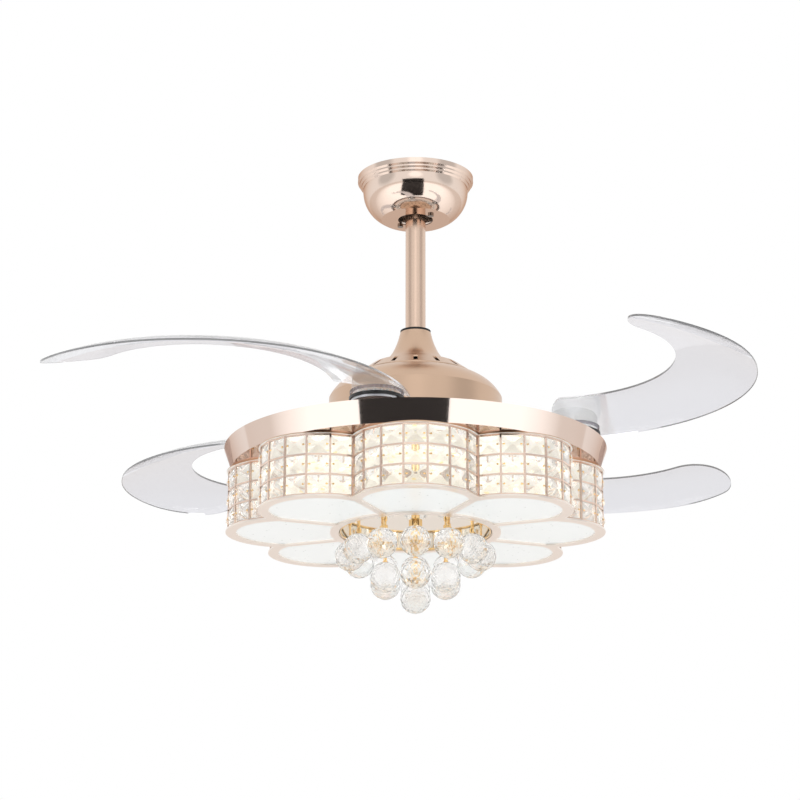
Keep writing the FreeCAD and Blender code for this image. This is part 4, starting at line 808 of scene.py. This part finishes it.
def wire_ring(bm, loop, wire, steps, matrix):
    """A closed ring of round wire: loop is the ring's radius, wire the wire's own radius."""
    around, along = steps
    rows = []
    for i in range(around):
        a = 2 * math.pi * i / around
        row = []
        for j in range(along):
            b = 2 * math.pi * j / along
            reach = loop + wire * math.cos(b)
            spot = Vector((reach * math.cos(a), reach * math.sin(a), wire * math.sin(b)))
            row.append(bm.verts.new(matrix @ spot))
        rows.append(row)
    for i in range(around):
        for j in range(along):
            here, there = rows[i], rows[(i + 1) % around]
            k = (j + 1) % along
            bm.faces.new((here[j], there[j], there[k], here[k]))


caps = bmesh.new()
upright = Matrix.Translation((0, 0, CAP_TALL)) @ Matrix.Rotation(math.pi / 2, 4, "X")
for i, top in enumerate(ball_tops):
    seat = Matrix.Translation(top + Vector((0, 0, CAP_RAISE)))
    bmesh.ops.create_cone(caps, cap_ends=True, segments=CAP_SIDES, radius1=CAP_WIDE, radius2=CAP_NARROW,
                          depth=CAP_TALL, matrix=seat)
    turned = seat @ Matrix.Rotation(i * LOOP_TURN, 4, "Z") @ upright
    wire_ring(caps, LOOP_RADIUS, LOOP_WIRE, LOOP_STEPS, turned)
clean(add_piece("ball_caps", caps, "gilt_brass", "hung_frame"))

tray_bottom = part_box("mirror_tray")[0].z
trim = bmesh.new()
wire_ring(trim, TRIM_RADIUS, TRIM_WIRE, TRIM_STEPS, Matrix.Translation((0, 0, tray_bottom)))
clean(add_piece("tray_trim", trim, "gilt_brass", "hung_frame"))
print("caps", len(ball_tops))

# %% [markdown]
# Each square crystal is held by two gilt pins, one at each side. They are only small beads on
# short legs, but in the photograph they make rows of gold dots all round the drum. Their places
# follow the drum's own plan: eight round lobes, each with seven columns of three crystals.

# %% Gilt pins beside the crystals
LOBE = 0.079
HALF_ANGLE = math.radians(76)
PETALS, COLUMNS, ROWS = 8, 7, 3
SWING = 2 * HALF_ANGLE / COLUMNS
LOBE_CENTRE = LOBE * (math.sin(HALF_ANGLE) / math.tan(math.pi / PETALS) - math.cos(HALF_ANGLE))
RAIL = 0.0022
cage_low, cage_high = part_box("petal_cage")
ROW_STEP = (cage_high.z - cage_low.z - RAIL) / ROWS
CAGE_DEPTH = 0.003
BACK = (LOBE - CAGE_DEPTH) * math.cos(SWING / 2)
PIN_OUT = BACK + 0.0030
PIN_RADIUS, PIN_SIDES, PIN_RINGS = 0.0013, 8, 6
LEG_RADIUS, LEG_SIDES = 0.0006, 6
PIN_ASIDE, GEM_HALF = 0.0105, 0.0129
LEG_ASIDE, LEG_LONG = (PIN_ASIDE + GEM_HALF) / 2, GEM_HALF - PIN_ASIDE
sideways = Matrix.Rotation(math.pi / 2, 4, "X")
pins = bmesh.new()
for petal in range(PETALS):
    facing = Matrix.Rotation(2 * math.pi * petal / PETALS + FRONT, 4, "Z")
    for column in range(COLUMNS):
        a = (column + 0.5) * SWING - HALF_ANGLE
        stand = facing @ Matrix.Translation((LOBE_CENTRE, 0, 0)) @ Matrix.Rotation(a, 4, "Z")
        for row in range(ROWS):
            height = cage_low.z + RAIL / 2 + ROW_STEP * (row + 0.5)
            for side in (-1, 1):
                head = stand @ Matrix.Translation((PIN_OUT, side * PIN_ASIDE, height))
                bmesh.ops.create_uvsphere(pins, u_segments=PIN_SIDES, v_segments=PIN_RINGS,
                                          radius=PIN_RADIUS, matrix=head)
                leg = stand @ Matrix.Translation((PIN_OUT, side * LEG_ASIDE, height)) @ sideways
                bmesh.ops.create_cone(pins, segments=LEG_SIDES, radius1=LEG_RADIUS, radius2=LEG_RADIUS,
                                      depth=LEG_LONG, matrix=leg)
clean(add_piece("crystal_pins", pins, "gilt_brass", "hung_frame"))
print("pins", 2 * PETALS * COLUMNS * ROWS)

# %% [markdown]
# Under each clear blade root sits a grip ring with upright ribs; it turns with the blade on its
# black pad. The ribs are cut by giving the ring an outline that steps in and out.

# %% Ribbed grip rings under the blade roots
BLADES = 4
PIVOT_CIRCLE = 0.210
PIVOT_TURN = math.radians(-13.13)
RING_IN, RING_OUT, RING_TALL = 0.0305, 0.0325, 0.0034
RIBS, RIB = 36, 0.0011
RIB_STEPS = 4
OUTER_STEPS = (1, 2)
RING_GAP = 0.0004
ring_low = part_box("blade_gear_1")[1].z + RING_GAP


def ribbed_ring():
    """A flat ring whose outer wall steps in and out, four points to a rib."""
    bm = bmesh.new()
    count = RIB_STEPS * RIBS
    walls = []
    for height in (ring_low, ring_low + RING_TALL):
        inner, outer = [], []
        for i in range(count):
            a = 2 * math.pi * i / count
            reach = RING_OUT + (RIB if i % RIB_STEPS in OUTER_STEPS else 0)
            inner.append(bm.verts.new((RING_IN * math.cos(a), RING_IN * math.sin(a), height)))
            outer.append(bm.verts.new((reach * math.cos(a), reach * math.sin(a), height)))
        walls.append((inner, outer))
    (in_low, out_low), (in_high, out_high) = walls
    for i in range(count):
        j = (i + 1) % count
        bm.faces.new((out_low[i], out_low[j], out_high[j], out_high[i]))
        bm.faces.new((in_low[j], in_low[i], in_high[i], in_high[j]))
        bm.faces.new((in_low[i], in_low[j], out_low[j], out_low[i]))
        bm.faces.new((in_high[j], in_high[i], out_high[i], out_high[j]))
    return bm


for k in range(BLADES):
    a = PIVOT_TURN + 2 * math.pi * k / BLADES
    ring = ribbed_ring()
    centre = Vector((PIVOT_CIRCLE * math.cos(a), PIVOT_CIRCLE * math.sin(a), 0))
    bmesh.ops.translate(ring, vec=centre, verts=ring.verts)
    grip = add_piece("grip_ring_%d" % (k + 1), ring, "clear_grip", "blade_arm_%d" % (k + 1))
    clean(grip)
print("grip rings of", RIBS, "ribs")

# %% [markdown]
# Last, the size of the dressed model is measured and printed.

# %% Sizes and finish
low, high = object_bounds()
print("dressed box", [round(v, 3) for v in low], [round(v, 3) for v in high])
